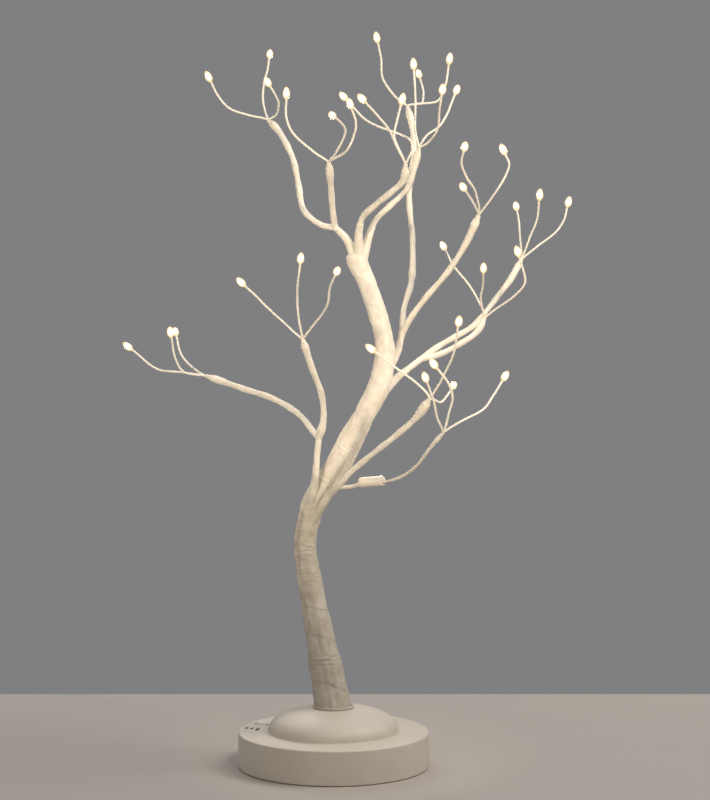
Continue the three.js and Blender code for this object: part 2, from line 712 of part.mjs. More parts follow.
function contact(side, indices) {
  const wall = BAY_LENGTH / 2 - CLEARANCE;
  const face = wall - CONTACT_THICKNESS;
  const tip = BATTERY_LENGTH / 2 + CLEARANCE;
  const rows = indices.map(batteryY);
  const xs = [side * face, side * wall];
  const plate = block(
    [Math.min(...xs), Math.max(...xs)],
    [Math.min(...rows) - CONTACT_SIZE / 2, Math.max(...rows) + CONTACT_SIZE / 2],
    [BATTERY_AXIS_Z - CONTACT_SIZE / 2, BATTERY_AXIS_Z + CONTACT_SIZE / 2],
  );
  const ends = indices.map((index) => {
    const isPlus = plusSide(index) === side;
    const wide = isPlus ? BUTTON_RADIUS : COIL_WIDE_RADIUS;
    const narrow = isPlus ? BUTTON_RADIUS : COIL_NARROW_RADIUS;
    const overlap = side * (face + CONTACT_THICKNESS / 2);
    const end = lengthwise(wide, narrow, overlap, side * tip, SMALL_SIDES);
    return end.translate(0, batteryY(index), BATTERY_AXIS_Z);
  });
  return joined([plate, ...ends]);
}

function circuitBoard() {
  const low = FLOOR_THICKNESS + BOARD_POST_HEIGHT + CLEARANCE;
  const high = low + BOARD.thickness;
  const y = [BOARD_CENTRE_Y - BOARD.width / 2, BOARD_CENTRE_Y + BOARD.width / 2];
  let board = solid(block([-BOARD.length / 2, BOARD.length / 2], y, [low, high]));
  for (const [x, cornerY] of boardCorners()) {
    const hole = upright(BOARD_HOLE_RADIUS, low - OVERRUN, high + OVERRUN, SMALL_SIDES);
    board = board.subtract(solid(hole.translate(x, cornerY, 0)));
  }
  return board;
}

// The armature's tail passes through the dome, and a nut holds it from inside the base
function trunkNut() {
  const high = DOME_UNDERSIDE - CLEARANCE;
  const low = high - NUT.height;
  const corner = NUT.acrossFlats / 2 / Math.cos(Math.PI / 6);
  const hexagon = solid(upright(corner, low, high, 6));
  const bore = upright(ARMATURE_RADIUS + CLEARANCE, low - OVERRUN, high + OVERRUN);
  return hexagon.subtract(solid(bore));
}

// Limbs
function stemRadiusAt(radius, length) {
  const swell = SWELL_RADIUS * (radius / STEM_RADIUS);
  const tip = Math.min(TIP_RADIUS, radius);
  return (u) => {
    const left = length * (1 - u);
    if (left < SWELL_LENGTH / 2) return THREE.MathUtils.lerp(tip, swell, left / (SWELL_LENGTH / 2));
    const settle = THREE.MathUtils.smoothstep(left, SWELL_LENGTH / 2, 2 * SWELL_LENGTH);
    return THREE.MathUtils.lerp(swell, radius, settle);
  };
}

// A light's drop shape, with its base at the origin and its tip along +Z
function drop() {
  const profile = DROP_OUTLINE.map(([across, along]) => [across * LIGHT_RADIUS, along * LIGHT_LENGTH]);
  return revolved([[0, 0], [LIGHT_BASE_RADIUS, 0], ...profile], LIGHT_SIDES);
}

// Every place in a limb is counted from its pivot, which is where its group stands
function addLimb(name, limb) {
  const group = new THREE.Group();
  group.position.copy(limbPlaces(limb).pivot);
  model.add(group);
  const pivot = new THREE.Vector3();
  const pieces = [new THREE.SphereGeometry(ROOT_RADIUS, SMALL_SIDES, SMALL_SIDES / 2)];
  const lead = [];
  let fork = pivot;
  if (limb.shared.length) {
    const shared = smooth([pivot, ...offsets(pivot, limb.shared)]);
    pieces.push(tapered(shared, () => ROOT_RADIUS, STEM_STEP, STEM_SIDES));
    fork = shared.getPointAt(1);
    lead.push(fork.clone().addScaledVector(shared.getTangentAt(1), -WIRE_INSET));
  }
  let lights = 0;
  for (const stem of limb.stems) {
    const curve = smooth([...lead, fork, ...offsets(fork, stem.route)]);
    const radius = stem.radius ?? STEM_RADIUS;
    pieces.push(tapered(curve, stemRadiusAt(radius, curve.getLength()), STEM_STEP, STEM_SIDES));
    if (stem.spliced) add("splice_sleeve", geometryOf(sleeve(curve)), sleevePlastic, group);
    const tip = curve.getPointAt(1);
    const inset = tip.clone().addScaledVector(curve.getTangentAt(1), -WIRE_INSET);
    for (const wire of stem.wires) {
      const line = smooth([inset, tip, ...offsets(tip, wire)]);
      pieces.push(tapered(line, () => WIRE_RADIUS, WIRE_STEP, WIRE_SIDES));
      lights += 1;
      const along = line.getTangentAt(1).normalize();
      const light = add(`light_${name}_${lights}`, drop(), lamp, group);
      light.quaternion.setFromUnitVectors(UP, along);
      light.position.copy(line.getPointAt(1)).addScaledVector(along, CLEARANCE);
    }
  }
  add(`limb_${name}`, geometryOf(joined(pieces)), paper, group);
}

function sleeve(curve) {
  const share = SLEEVE.length / curve.getLength();
  const overrun = OVERRUN / curve.getLength();
  const end = SLEEVE.start + share;
  const outer = stretch(curve, SLEEVE.start, end, SLEEVE_POINTS);
  const inner = stretch(curve, SLEEVE.start - overrun, end + overrun, SLEEVE_POINTS);
  const skin = tapered(outer, () => SLEEVE.radius, STEM_STEP / 2, SMALL_SIDES);
  const bore = tapered(inner, () => SLEEVE.bore, STEM_STEP / 2, STEM_SIDES);
  return solid(skin).translate(0, 0, SLEEVE.rise).subtract(solid(bore));
}

add("base_housing", geometryOf(housing()), ivoryPlastic);
add("base_floor", geometryOf(floorPlate()), ivoryPlastic);
add("battery_door", geometryOf(batteryDoor()), ivoryPlastic);
add("switch_knob", geometryOf(switchKnob()), ivoryPlastic);
add("slide_switch", geometryOf(slideSwitch()), springSteel);
add("circuit_board", geometryOf(circuitBoard()), boardGreen);
for (let i = 0; i < BATTERY_COUNT; i++) {
  add(`battery_${i + 1}`, geometryOf(battery(i)), batteryWrap);
}
add("contact_plate", geometryOf(contact(1, [0])), springSteel);
add("contact_double_1", geometryOf(contact(-1, [0, 1])), springSteel);
add("contact_double_2", geometryOf(contact(1, [1, 2])), springSteel);
add("contact_spring", geometryOf(contact(-1, [2])), springSteel);
add("trunk", geometryOf(trunk()), paper);
add("armature", tapered(armatureCurve(), () => ARMATURE_RADIUS, TRUNK_STEP, ARMATURE_SIDES), steel);
add("trunk_nut", geometryOf(trunkNut()), steel);
for (const [name, limb] of Object.entries(LIMBS)) addLimb(name, limb);

export default model;
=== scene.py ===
"""Dresses the frame of a lighted table tree: wound trunk and limbs, drop lights and a domed base."""

import json
import logging
import math
import random
from bisect import bisect_left
from collections.abc import Callable, Sequence
from dataclasses import dataclass, field
from enum import Enum
from itertools import accumulate

import bmesh
import bpy
from mathutils import Matrix, Vector


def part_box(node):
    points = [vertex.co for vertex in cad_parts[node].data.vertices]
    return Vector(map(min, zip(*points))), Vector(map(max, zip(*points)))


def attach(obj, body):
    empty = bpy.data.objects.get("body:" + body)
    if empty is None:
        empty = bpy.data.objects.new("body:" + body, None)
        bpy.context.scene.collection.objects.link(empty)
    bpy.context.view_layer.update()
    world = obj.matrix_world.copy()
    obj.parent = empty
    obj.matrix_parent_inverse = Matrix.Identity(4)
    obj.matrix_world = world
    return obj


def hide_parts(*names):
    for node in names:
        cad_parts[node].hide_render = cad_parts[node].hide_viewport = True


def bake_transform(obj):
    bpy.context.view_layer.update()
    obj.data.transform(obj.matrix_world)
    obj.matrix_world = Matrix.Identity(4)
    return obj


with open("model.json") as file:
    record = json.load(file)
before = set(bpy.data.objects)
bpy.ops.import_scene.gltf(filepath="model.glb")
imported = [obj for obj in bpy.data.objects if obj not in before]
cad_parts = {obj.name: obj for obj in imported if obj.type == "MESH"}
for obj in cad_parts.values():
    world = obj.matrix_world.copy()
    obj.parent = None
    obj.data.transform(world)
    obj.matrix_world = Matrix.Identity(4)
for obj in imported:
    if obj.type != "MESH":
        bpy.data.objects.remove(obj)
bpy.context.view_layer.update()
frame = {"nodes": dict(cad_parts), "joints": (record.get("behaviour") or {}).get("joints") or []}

log = logging.getLogger("lighted_tree")

MM = 0.001
UP = Vector((0, 0, 1))
Colour = tuple[float, float, float]
Profile = Sequence[tuple[float, float]]
Offset = tuple[float, float, float]

# Names of the attributes that the shapes hand to the finishes
WOUND_RADIUS = "wound_radius"
TURNS = "turns"
GATHER = "gather"
# The crease mask says where the paper finish paints shade
EDGE = "edge"
CREASE_SHADE = "crease"
ALONG = "along"
AIM = "aim"
REACH = "reach"


class Body(str, Enum):
    """The bodies of the frame that don't bend as limbs."""

    BASE = "base"
    DOOR = "door"
    SWITCH = "switch"


class Slot(str, Enum):
    """The record's material slots, which no piece here uses."""

    IVORY = "ivory_plastic"
    PAPER = "paper_wrap"
    RESIN = "light_resin"
    SLEEVE = "sleeve_plastic"
    STEEL = "bright_steel"
    CELL = "cell_wrap"


# Node trees


@dataclass(frozen=True)
class Term:
    """A node's output. Python operators on it add Math nodes to its tree."""

    graph: "Graph"
    socket: bpy.types.NodeSocket

    def _math(self, operation: str, left: "Term | float", right: "Term | float") -> "Term":
        """Adds one Math node and returns its result."""
        return self.graph.term("ShaderNodeMath", {"operation": operation}, {0: left, 1: right})

    def __add__(self, other: "Term | float") -> "Term":
        """self + other."""
        return self._math("ADD", self, other)

    def __radd__(self, other: float) -> "Term":
        """other + self."""
        return self._math("ADD", other, self)

    def __sub__(self, other: "Term | float") -> "Term":
        """self - other."""
        return self._math("SUBTRACT", self, other)

    def __rsub__(self, other: float) -> "Term":
        """other - self."""
        return self._math("SUBTRACT", other, self)

    def __mul__(self, other: "Term | float") -> "Term":
        """self * other."""
        return self._math("MULTIPLY", self, other)

    def __rmul__(self, other: float) -> "Term":
        """other * self."""
        return self._math("MULTIPLY", other, self)

    def __truediv__(self, other: "Term | float") -> "Term":
        """self / other."""
        return self._math("DIVIDE", self, other)

    def __rtruediv__(self, other: float) -> "Term":
        """other / self."""
        return self._math("DIVIDE", other, self)

    def least(self, other: "Term | float") -> "Term":
        """The smaller of the two."""
        return self._math("MINIMUM", self, other)

    def fraction(self) -> "Term":
        """The part after the point, from 0 to 1."""
        return self._math("FRACT", self, 0.0)

    def sine(self) -> "Term":
        """The sine of an angle in radians."""
        return self._math("SINE", self, 0.0)

    def cosine(self) -> "Term":
        """The cosine of an angle in radians."""
        return self._math("COSINE", self, 0.0)

    def size(self) -> "Term":
        """The value without its sign."""
        return self._math("ABSOLUTE", self, 0.0)


class Graph:
    """A node tree that is being filled."""

    def __init__(self, tree: bpy.types.NodeTree) -> None:
        """Keeps the tree to fill."""
        self.tree = tree

    def node(self, kind: str, settings: dict | None = None, values: dict | None = None) -> bpy.types.Node:
        """Adds a node.

        Args:
            kind: The node's type name.
            settings: Its properties, which are set first.
            values: Numbers or terms for its input sockets, by name or index.

        Returns:
            The new node.
        """
        made = self.tree.nodes.new(kind)
        for key, value in (settings or {}).items():
            setattr(made, key, value)
        for key, value in (values or {}).items():
            if isinstance(value, Term):
                self.tree.links.new(value.socket, made.inputs[key])
            else:
                made.inputs[key].default_value = value
        return made

    def term(
        self,
        kind: str,
        settings: dict | None = None,
        values: dict | None = None,
        output: int | str = 0,
    ) -> Term:
        """Adds a node as node() does, and returns one of its outputs."""
        return Term(self, self.node(kind, settings, values).outputs[output])

    def smooth_step(self, value: Term, low: float, high: float) -> Term:
        """0 below low, 1 above high, and a soft rise between them."""
        values = {"Value": value, "From Min": low, "From Max": high}
        return self.term("ShaderNodeMapRange", {"interpolation_type": "SMOOTHSTEP"}, values)

    def vector(self, x: Term | float, y: Term | float, z: Term | float) -> Term:
        """A vector from three numbers."""
        return self.term("ShaderNodeCombineXYZ", None, {0: x, 1: y, 2: z})

    def scaled(self, vector: Term, amount: Term | Offset) -> Term:
        """A vector times a number or, axis by axis, times a vector."""
        if isinstance(amount, Term):
            return self.term("ShaderNodeVectorMath", {"operation": "SCALE"}, {0: vector, "Scale": amount})
        return self.term("ShaderNodeVectorMath", {"operation": "MULTIPLY"}, {0: vector, 1: amount})

    def noise(self, vector: Term, scale: float, detail: float = 2.0, seed: Term | float = 0.0) -> Term:
        """Soft noise around 0, from about -1 to 1."""
        values = {"Vector": vector, "W": seed, "Scale": scale, "Detail": detail}
        return 2.0 * self.term("ShaderNodeTexNoise", {"noise_dimensions": "4D"}, values) - 1.0

    def mixed(self, share: Term, first: Term | Colour, second: Term | Colour, blend: str = "MIX") -> Term:
        """The first colour where share is 0, and the second, or its product with the first, where it is 1."""
        ends = [end if isinstance(end, Term) else (*end, 1.0) for end in (first, second)]
        settings = {"data_type": "RGBA", "clamp_factor": True, "blend_type": blend}
        return self.term("ShaderNodeMix", settings, {0: share, 6: ends[0], 7: ends[1]}, output=2)


class ShapeTree(Graph):
    """A Geometry Nodes tree with named inputs, which ends in Realize Instances and Set Material."""

    def __init__(self, name: str, inputs: dict[str, str]) -> None:
        """Makes the tree and its inputs.

        Args:
            name: The tree's name.
            inputs: The type of each input's socket, by the input's name.
        """
        super().__init__(bpy.data.node_groups.new(name, "GeometryNodeTree"))
        face = self.tree.interface
        face.new_socket("Geometry", in_out="INPUT", socket_type="NodeSocketGeometry")
        for label, kind in {**inputs, "Material": "NodeSocketMaterial"}.items():
            face.new_socket(label, in_out="INPUT", socket_type=kind)
        face.new_socket("Geometry", in_out="OUTPUT", socket_type="NodeSocketGeometry")
        entry = self.node("NodeGroupInput")
        self.given = {socket.name: Term(self, socket) for socket in entry.outputs if socket.name}

    def named(self, name: str, kind: str = "FLOAT") -> Term:
        """Reads a named attribute."""
        return self.term("GeometryNodeInputNamedAttribute", {"data_type": kind}, {"Name": name})

    def stored(self, geometry: Term, name: str, value: Term, kind: str = "FLOAT") -> Term:
        """The geometry with a value stored on its points under a name."""
        settings = {"data_type": kind, "domain": "POINT"}
        values = {"Geometry": geometry, "Name": name, "Value": value}
        return self.term("GeometryNodeStoreNamedAttribute", settings, values)

    def copies(self, piece: Term, scale: Term | Offset = (1.0, 1.0, 1.0)) -> Term:
        """Copies of a piece that stand on the given points, each turned to its point's own direction."""
        aim = self.named(AIM, "FLOAT_VECTOR")
        turned_to = self.term("FunctionNodeAlignRotationToVector", {"axis": "Z"}, {"Vector": aim})
        points = self.term("GeometryNodeMeshToPoints", None, {"Mesh": self.given["Geometry"]})
        values = {"Points": points, "Instance": piece, "Rotation": turned_to, "Scale": scale}
        return self.term("GeometryNodeInstanceOnPoints", None, values)

    def close(self, geometry: Term) -> None:
        """Ends the tree."""
        smooth = self.term("GeometryNodeSetShadeSmooth", None, {"Geometry": geometry})
        real = self.term("GeometryNodeRealizeInstances", None, {"Geometry": smooth})
        dressed = self.term(
            "GeometryNodeSetMaterial", None, {"Geometry": real, "Material": self.given["Material"]}
        )
        self.node("NodeGroupOutput", None, {"Geometry": dressed})

    def grow(self, name: str, seed: bpy.types.Object, inputs: dict) -> bpy.types.Object:
        """Runs the tree on a seed object and keeps the result as a plain mesh.

        Args:
            name: The new piece's name.
            seed: The mesh that the tree starts from, which is removed.
            inputs: Values for the tree's inputs, by name.

        Returns:
            The new piece, at the origin.
        """
        modifier = seed.modifiers.new("shape", "NODES")
        modifier.node_group = self.tree
        for item in self.tree.interface.items_tree:
            if item.in_out == "INPUT" and item.name in inputs:
                modifier[item.identifier] = inputs[item.name]
        graph = bpy.context.evaluated_depsgraph_get()
        mesh = bpy.data.meshes.new_from_object(
            seed.evaluated_get(graph), preserve_all_data_layers=True, depsgraph=graph
        )
        mesh.name = name
        seed.modifiers.remove(modifier)
        bpy.data.objects.remove(seed)
        turn_outwards(mesh)
        return placed(name, mesh)


def wound_tree() -> ShapeTree:
    """A line of wires wound with paper tape: ridges over the wires, gathered rings, tape edges and folds."""
    tree = ShapeTree(
        "paper winding",
        {
            "Step": "NodeSocketFloat",
            "Sides": "NodeSocketInt",
            "Edge Height": "NodeSocketFloat",
            "Gather Height": "NodeSocketFloat",
            "Gather Pitch": "NodeSocketFloat",
            "Ridge Height": "NodeSocketFloat",
            "Fold Height": "NodeSocketFloat",
            "Full Radius": "NodeSocketFloat",
            "Smooth After": "NodeSocketFloat",
            "Seed": "NodeSocketFloat",
        },
    )
    given = tree.given
    line = tree.term("GeometryNodeMeshToCurve", None, {"Mesh": given["Geometry"]})
    even = tree.term(
        "GeometryNodeResampleCurve", {"mode": "LENGTH"}, {"Curve": line, "Length": given["Step"]}
    )
    length = tree.term("GeometryNodeSplineParameter", output="Length")
    even = tree.stored(even, ALONG, length)
    even = tree.stored(even, "centre", tree.term("GeometryNodeInputPosition"), "FLOAT_VECTOR")
    ring = tree.term("GeometryNodeCurvePrimitiveCircle", None, {"Resolution": given["Sides"], "Radius": 1.0})
    ring = tree.stored(ring, "around", tree.term("GeometryNodeSplineParameter", output="Factor"))
    tube = tree.term(
        "GeometryNodeCurveToMesh",
        None,
        {"Curve": even, "Profile Curve": ring, "Scale": tree.named(WOUND_RADIUS), "Fill Caps": True},
    )
    around = tree.named("around")
    along = tree.named(ALONG)
    gather = tree.named(GATHER)
    angle = around * (2 * math.pi)
    x = angle.cosine()
    y = angle.sine()
    seed = given["Seed"]

    wobble = tree.noise(tree.vector(x * 0.5, y * 0.5, along * 30.0), 1.0, 1.0, seed) * 0.14
    turn = (tree.named(TURNS) + around + wobble).fraction()
    wear_and_shade = tree.smooth_step(tree.noise(tree.vector(x, y, along * 40.0), 0.8, 1.0, seed + 5.0), -0.5, 0.5)
    edge_share = tree.named(EDGE) * (0.35 + 0.65 * wear_and_shade)
    edge = (tree.smooth_step(turn, 0.0, 0.02) * (1.0 - turn) - 0.4) * edge_share
    edge_line = (1.0 - tree.smooth_step(turn.least(1.0 - turn), 0.0, 0.03)) * edge_share

    ripple = tree.noise(tree.vector(x * 0.6, y * 0.6, along * 90.0), 1.0, 2.0, seed + 3.0)
    rings = (along * (2 * math.pi) / given["Gather Pitch"] + ripple * 9.0 + x * 3.5).sine()
    reach = tree.smooth_step(tree.noise(tree.vector(x, y, along * 120.0), 0.9, 1.0, seed + 4.0), -0.6, 0.3)
    gathers = rings * gather * (0.15 + 0.85 * reach)

    rough = 1.0 - 0.58 * tree.smooth_step(along - given["Smooth After"], 0.0, 0.05)
    twist = tree.vector(x, y, along * 7.0)
    ridges = (0.22 - tree.noise(twist, 1.15, 1.0, seed + 7.0).size().least(0.5)) * rough
    fine = tree.noise(tree.vector(x * 2.6, y * 2.6, along * 300.0), 1.0, 2.0, seed + 9.0)
    folds = tree.noise(tree.vector(x * 1.2, y * 1.2, along * 75.0), 1.0, 2.0, seed + 11.0)
    folds = (0.2 - folds.size()) * rough
    hollows = tree.smooth_step(0.0 - folds - 0.5 * ridges, 0.1, 0.45)

    height = given["Edge Height"] * edge + given["Gather Height"] * gathers
    height = height + given["Ridge Height"] * ridges + given["Fold Height"] * (folds + 0.1 * fine)
    position = tree.term("GeometryNodeInputPosition")
    centre = tree.named("centre", "FLOAT_VECTOR")
    outwards = tree.term("ShaderNodeVectorMath", {"operation": "SUBTRACT"}, {0: position, 1: centre})
    outwards = tree.term("ShaderNodeVectorMath", {"operation": "NORMALIZE"}, {0: outwards})
    grooves = tree.smooth_step(0.0 - gathers, 0.25, 1.0)
    # The crease mask marks where shade is painted: along the tape's edges, in the gathered grooves and in the
    # hollows of the folds
    tube = tree.stored(tube, CREASE_SHADE, edge_line + grooves * 0.4 + hollows * 0.65)
    height = height * (tree.named(WOUND_RADIUS) / given["Full Radius"]).least(1.0)
    tube = tree.term(
        "GeometryNodeSetPosition", None, {"Geometry": tube, "Offset": tree.scaled(outwards, height)}
    )
    tree.close(tube)
    return tree


def set_out_tree() -> ShapeTree:
    """Copies of one small piece, stood on points and aimed along each point's own direction."""
    tree = ShapeTree(
        "pieces on points",
        {"Piece": "NodeSocketObject", "Spread Of Size": "NodeSocketFloat", "Seed": "NodeSocketInt"},
    )
    given = tree.given
    piece = tree.term("GeometryNodeObjectInfo", None, {"Object": given["Piece"]}, output="Geometry")
    drawn = tree.term(
        "FunctionNodeRandomValue",
        {"data_type": "FLOAT"},
        {"Min": 0.0, "Max": 1.0, "Seed": given["Seed"]},
        output=1,
    )
    size = 1.0 - given["Spread Of Size"] * drawn
    tree.close(tree.copies(piece, tree.vector(size, size, size)))
    return tree


def coil_tree() -> ShapeTree:
    """Conical wire springs, one standing on each point along its direction."""
    tree = ShapeTree(
        "coil springs",
        {
            "Turns": "NodeSocketFloat",
            "Foot Radius": "NodeSocketFloat",
            "Top Radius": "NodeSocketFloat",
            "Height": "NodeSocketFloat",
            "Wire Radius": "NodeSocketFloat",
        },
    )
    given = tree.given
    spiral = tree.term(
        "GeometryNodeCurveSpiral",
        None,
        {
            "Resolution": 20,
            "Rotations": given["Turns"],
            "Start Radius": given["Foot Radius"],
            "End Radius": given["Top Radius"],
            "Height": given["Height"],
        },
    )
    ring = tree.term(
        "GeometryNodeCurvePrimitiveCircle", None, {"Resolution": 8, "Radius": given["Wire Radius"]}
    )
    wire = tree.term(
        "GeometryNodeCurveToMesh", None, {"Curve": spiral, "Profile Curve": ring, "Fill Caps": True}
    )
    tree.close(tree.copies(wire))
    return tree


# Finishes


class Surface(Graph):
    """A material with one Principled BSDF, whose constants are set on its own sockets."""

    def __init__(self, name: str, constants: dict) -> None:
        """Makes the material.

        Args:
            name: The material's name.
            constants: Values for the shader's sockets that are the same all over.
        """
        self.material = bpy.data.materials.new(name)
        self.material.use_nodes = True
        super().__init__(self.material.node_tree)
        self.tree.nodes.clear()
        self.shader = self.node("ShaderNodeBsdfPrincipled", None, constants)
        self.node("ShaderNodeOutputMaterial", None, {"Surface": Term(self, self.shader.outputs[0])})
        self.place = self.term("ShaderNodeTexCoord", output="Object")

    def attribute(self, name: str) -> Term:
        """Reads a number that the shape stored."""
        return self.term("ShaderNodeAttribute", {"attribute_name": name}, output="Fac")

    def feed(self, socket: str, value: Term) -> None:
        """Links a varying value to one of the shader's sockets."""
        self.tree.links.new(value.socket, self.shader.inputs[socket])

    def relief(self, height: Term, distance: float, strength: float = 1.0) -> None:
        """Feeds a height in shares of distance to the shader's normal."""
        values = {"Height": height, "Distance": distance, "Strength": strength}
        self.feed("Normal", self.term("ShaderNodeBump", None, values))


@dataclass(frozen=True)
class CrinkledPaper:
    """Ivory paper tape with crinkles across it and fibres, with painted shade in its creases and painted
    shade that greys it towards the bottom.
    """

    name: str
    pale: Colour = (0.84, 0.78, 0.685)
    deep: Colour = (0.72, 0.655, 0.555)
    # Painted shade: a grey that darkens the paper between these heights and below them
    wear_and_shade: Colour = (0.59, 0.58, 0.56)
    lower_shade_reach: tuple[float, float] = (0.135, 0.205)
    # Colour of the painted shade in the creases, grooves and hollows, and how strongly it is painted
    crease: Colour = (0.34, 0.275, 0.20)
    crease_shade_share: float = 0.45
    crinkle_pitch: float = 1.3 * MM
    relief: float = 0.07 * MM

    def material(self) -> bpy.types.Material:
        """Builds the material."""
        surface = Surface(self.name, {"Specular IOR Level": 0.25})
        broad = surface.noise(surface.place, 60.0, 3.0)
        patches = surface.noise(surface.place, 210.0, 3.0, 2.0)
        fine = surface.noise(surface.place, 800.0, 2.0, 4.0)
        fibres = surface.noise(surface.scaled(surface.place, (1.0, 1.0, 0.15)), 1500.0, 2.0, 9.0)
        crease = surface.attribute(CREASE_SHADE)
        tone = surface.smooth_step(0.7 * broad + 0.8 * patches + 0.2 * fibres, -0.55, 0.5)
        colour = surface.mixed(tone, self.deep, self.pale)
        height = surface.term("ShaderNodeSeparateXYZ", None, {"Vector": surface.place}, output="Z")
        # Painted shade, darker and greyer towards the bottom of the piece
        shaded_below = 1.0 - surface.smooth_step(height + 0.02 * broad, *self.lower_shade_reach)
        # Painted shade in the creases, stronger where the paper is also shaded towards the bottom
        held = surface.smooth_step(crease + 0.3 * patches, 0.15, 1.1) * self.crease_shade_share
        held = held * (0.4 + 0.6 * shaded_below)
        colour = surface.mixed(shaded_below, colour, self.wear_and_shade, "MULTIPLY")
        surface.feed("Base Color", surface.mixed(held, colour, self.crease))
        surface.feed("Roughness", 0.86 + 0.06 * patches)
        rate = 2 * math.pi / self.crinkle_pitch
        crinkles = (surface.attribute(ALONG) * rate + 9.0 * patches + 4.0 * broad).sine()
        here = surface.smooth_step(patches, -0.3, 0.5)
        surface.relief(0.5 * crinkles * here + 0.5 * fine + 0.2 * fibres, self.relief, 0.7)
        return surface.material


@dataclass(frozen=True)
class MouldedPlastic:
    """Satin moulded plastic: a fine spark-worn skin, faint flow marks, and dark specks."""

    name: str
    pale: Colour = (0.61, 0.55, 0.47)
    deep: Colour = (0.545, 0.485, 0.405)
    roughness: float = 0.47
    grain: float = 0.05 * MM

    def material(self) -> bpy.types.Material:
        """Builds the material."""
        surface = Surface(self.name, {"Specular IOR Level": 0.42})
        flow = surface.noise(surface.scaled(surface.place, (1.0, 1.0, 0.4)), 28.0, 2.0)
        cloud = surface.noise(surface.place, 160.0, 4.0, 3.0)
        skin = surface.noise(surface.place, 2600.0, 2.0, 6.0)
        specks = surface.smooth_step(surface.noise(surface.place, 750.0, 1.0, 12.0), 0.52, 0.66)
        tone = surface.smooth_step(flow + 0.5 * cloud, -1.0, 0.7)
        colour = surface.mixed(tone, self.deep, self.pale)
        surface.feed("Base Color", surface.mixed(specks * 0.22, colour, (0.42, 0.35, 0.27)))
        surface.feed("Roughness", self.roughness + 0.07 * cloud + 0.05 * skin)
        surface.relief(0.7 * skin + 0.5 * cloud, self.grain, 0.7)
        return surface.material


@dataclass(frozen=True)
class LitResin:
    """The clear, warm-lit resin of a drop light, through which its core shows."""

    name: str
    middle: Colour = (1.0, 0.79, 0.50)
    ends: Colour = (0.80, 0.57, 0.32)
    strength: float = 0.8
    cover: float = 0.5

    def material(self) -> bpy.types.Material:
        """Builds the material."""
        constants = {"Emission Strength": self.strength, "IOR": 1.5, "Coat Weight": 0.4}
        surface = Surface(self.name, constants)
        reach = surface.attribute(REACH)
        uneven = surface.noise(surface.place, 1400.0, 1.0)
        lit = surface.smooth_step(reach, 0.0, 0.35) * (1.0 - surface.smooth_step(reach, 0.7, 1.0))
        surface.feed("Base Color", surface.mixed(lit, (0.40, 0.28, 0.16), (0.45, 0.33, 0.20)))
        surface.feed("Emission Color", surface.mixed(lit, self.ends, self.middle))
        surface.feed("Alpha", self.cover + 0.15 * (1.0 - lit) + 0.04 * uneven)
        surface.feed("Roughness", 0.16 + 0.05 * uneven)
        surface.relief(uneven, 0.05 * MM, 0.5)
        return surface.material


@dataclass(frozen=True)
class LitCore:
    """The lit chip and its hot halo in the middle of a drop light."""

    name: str
    hot: Colour = (1.0, 0.90, 0.72)
    warm: Colour = (1.0, 0.72, 0.38)
    strength: float = 2.6

    def material(self) -> bpy.types.Material:
        """Builds the material."""
        surface = Surface(self.name, {"Emission Strength": self.strength})
        reach = surface.attribute(REACH)
        lit = surface.smooth_step(reach, 0.0, 0.3) * (1.0 - surface.smooth_step(reach, 0.75, 1.0))
        tone = lit + 0.1 * surface.noise(surface.place, 900.0, 1.0)
        surface.feed("Base Color", surface.mixed(tone, self.warm, self.hot))
        surface.feed("Emission Color", surface.mixed(tone, self.warm, self.hot))
        surface.feed("Roughness", 0.4 + 0.1 * lit)
        return surface.material


@dataclass(frozen=True)
class DrawnMetal:
    """Plated or bare steel with fine drawing lines and dulled patches."""

    name: str
    colour: Colour
    dull: Colour
    roughness: float

    def material(self) -> bpy.types.Material:
        """Builds the material."""
        surface = Surface(self.name, {"Metallic": 1.0})
        patches = surface.noise(surface.place, 240.0, 3.0)
        lines = surface.noise(surface.scaled(surface.place, (0.05, 1.0, 1.0)), 5200.0, 1.0, 5.0)
        tone = surface.smooth_step(patches + 0.3 * lines, -0.6, 0.8)
        surface.feed("Base Color", surface.mixed(tone, self.dull, self.colour))
        surface.feed("Roughness", self.roughness + 0.1 * patches + 0.05 * lines)
        surface.relief(lines, 0.01 * MM, 0.5)
        return surface.material


@dataclass(frozen=True)
class PrintedFilm:
    """The glossy film round a battery cell, dark with a copper end, without words."""

    name: str
    body: Colour = (0.035, 0.045, 0.06)
    top: Colour = (0.52, 0.26, 0.09)

    def material(self) -> bpy.types.Material:
        """Builds the material."""
        surface = Surface(self.name, {"Metallic": 0.35, "Coat Weight": 0.5})
        reach = surface.attribute(REACH)
        cloud = surface.noise(surface.place, 300.0, 2.0)
        copper = surface.smooth_step(reach, 0.70, 0.705)
        line = surface.smooth_step(reach, 0.67, 0.673) * (1.0 - surface.smooth_step(reach, 0.685, 0.688))
        colour = surface.mixed(copper, self.body, self.top)
        surface.feed("Base Color", surface.mixed(line, colour, (0.62, 0.62, 0.60)))
        surface.feed("Roughness", 0.3 + 0.06 * cloud)
        surface.relief(cloud, 0.03 * MM, 0.4)
        return surface.material


@dataclass(frozen=True)
class MaskedBoard:
    """Green solder mask with the faint weave of the glass cloth below it."""

    name: str

    def material(self) -> bpy.types.Material:
        """Builds the material."""
        surface = Surface(self.name, {"Specular IOR Level": 0.5})
        weave_rate = 2 * math.pi / (0.8 * MM)
        parts = surface.node("ShaderNodeSeparateXYZ", None, {0: surface.place})
        across = Term(surface, parts.outputs["X"])
        along = Term(surface, parts.outputs["Y"])
        weave = (across * weave_rate).sine() * (along * weave_rate).sine()
        tone = surface.smooth_step(weave + surface.noise(surface.place, 200.0), -1.2, 1.2)
        surface.feed("Base Color", surface.mixed(tone, (0.012, 0.075, 0.028), (0.025, 0.13, 0.05)))
        surface.feed("Roughness", 0.34 + 0.06 * weave)
        surface.relief(weave, 0.02 * MM, 0.5)
        return surface.material


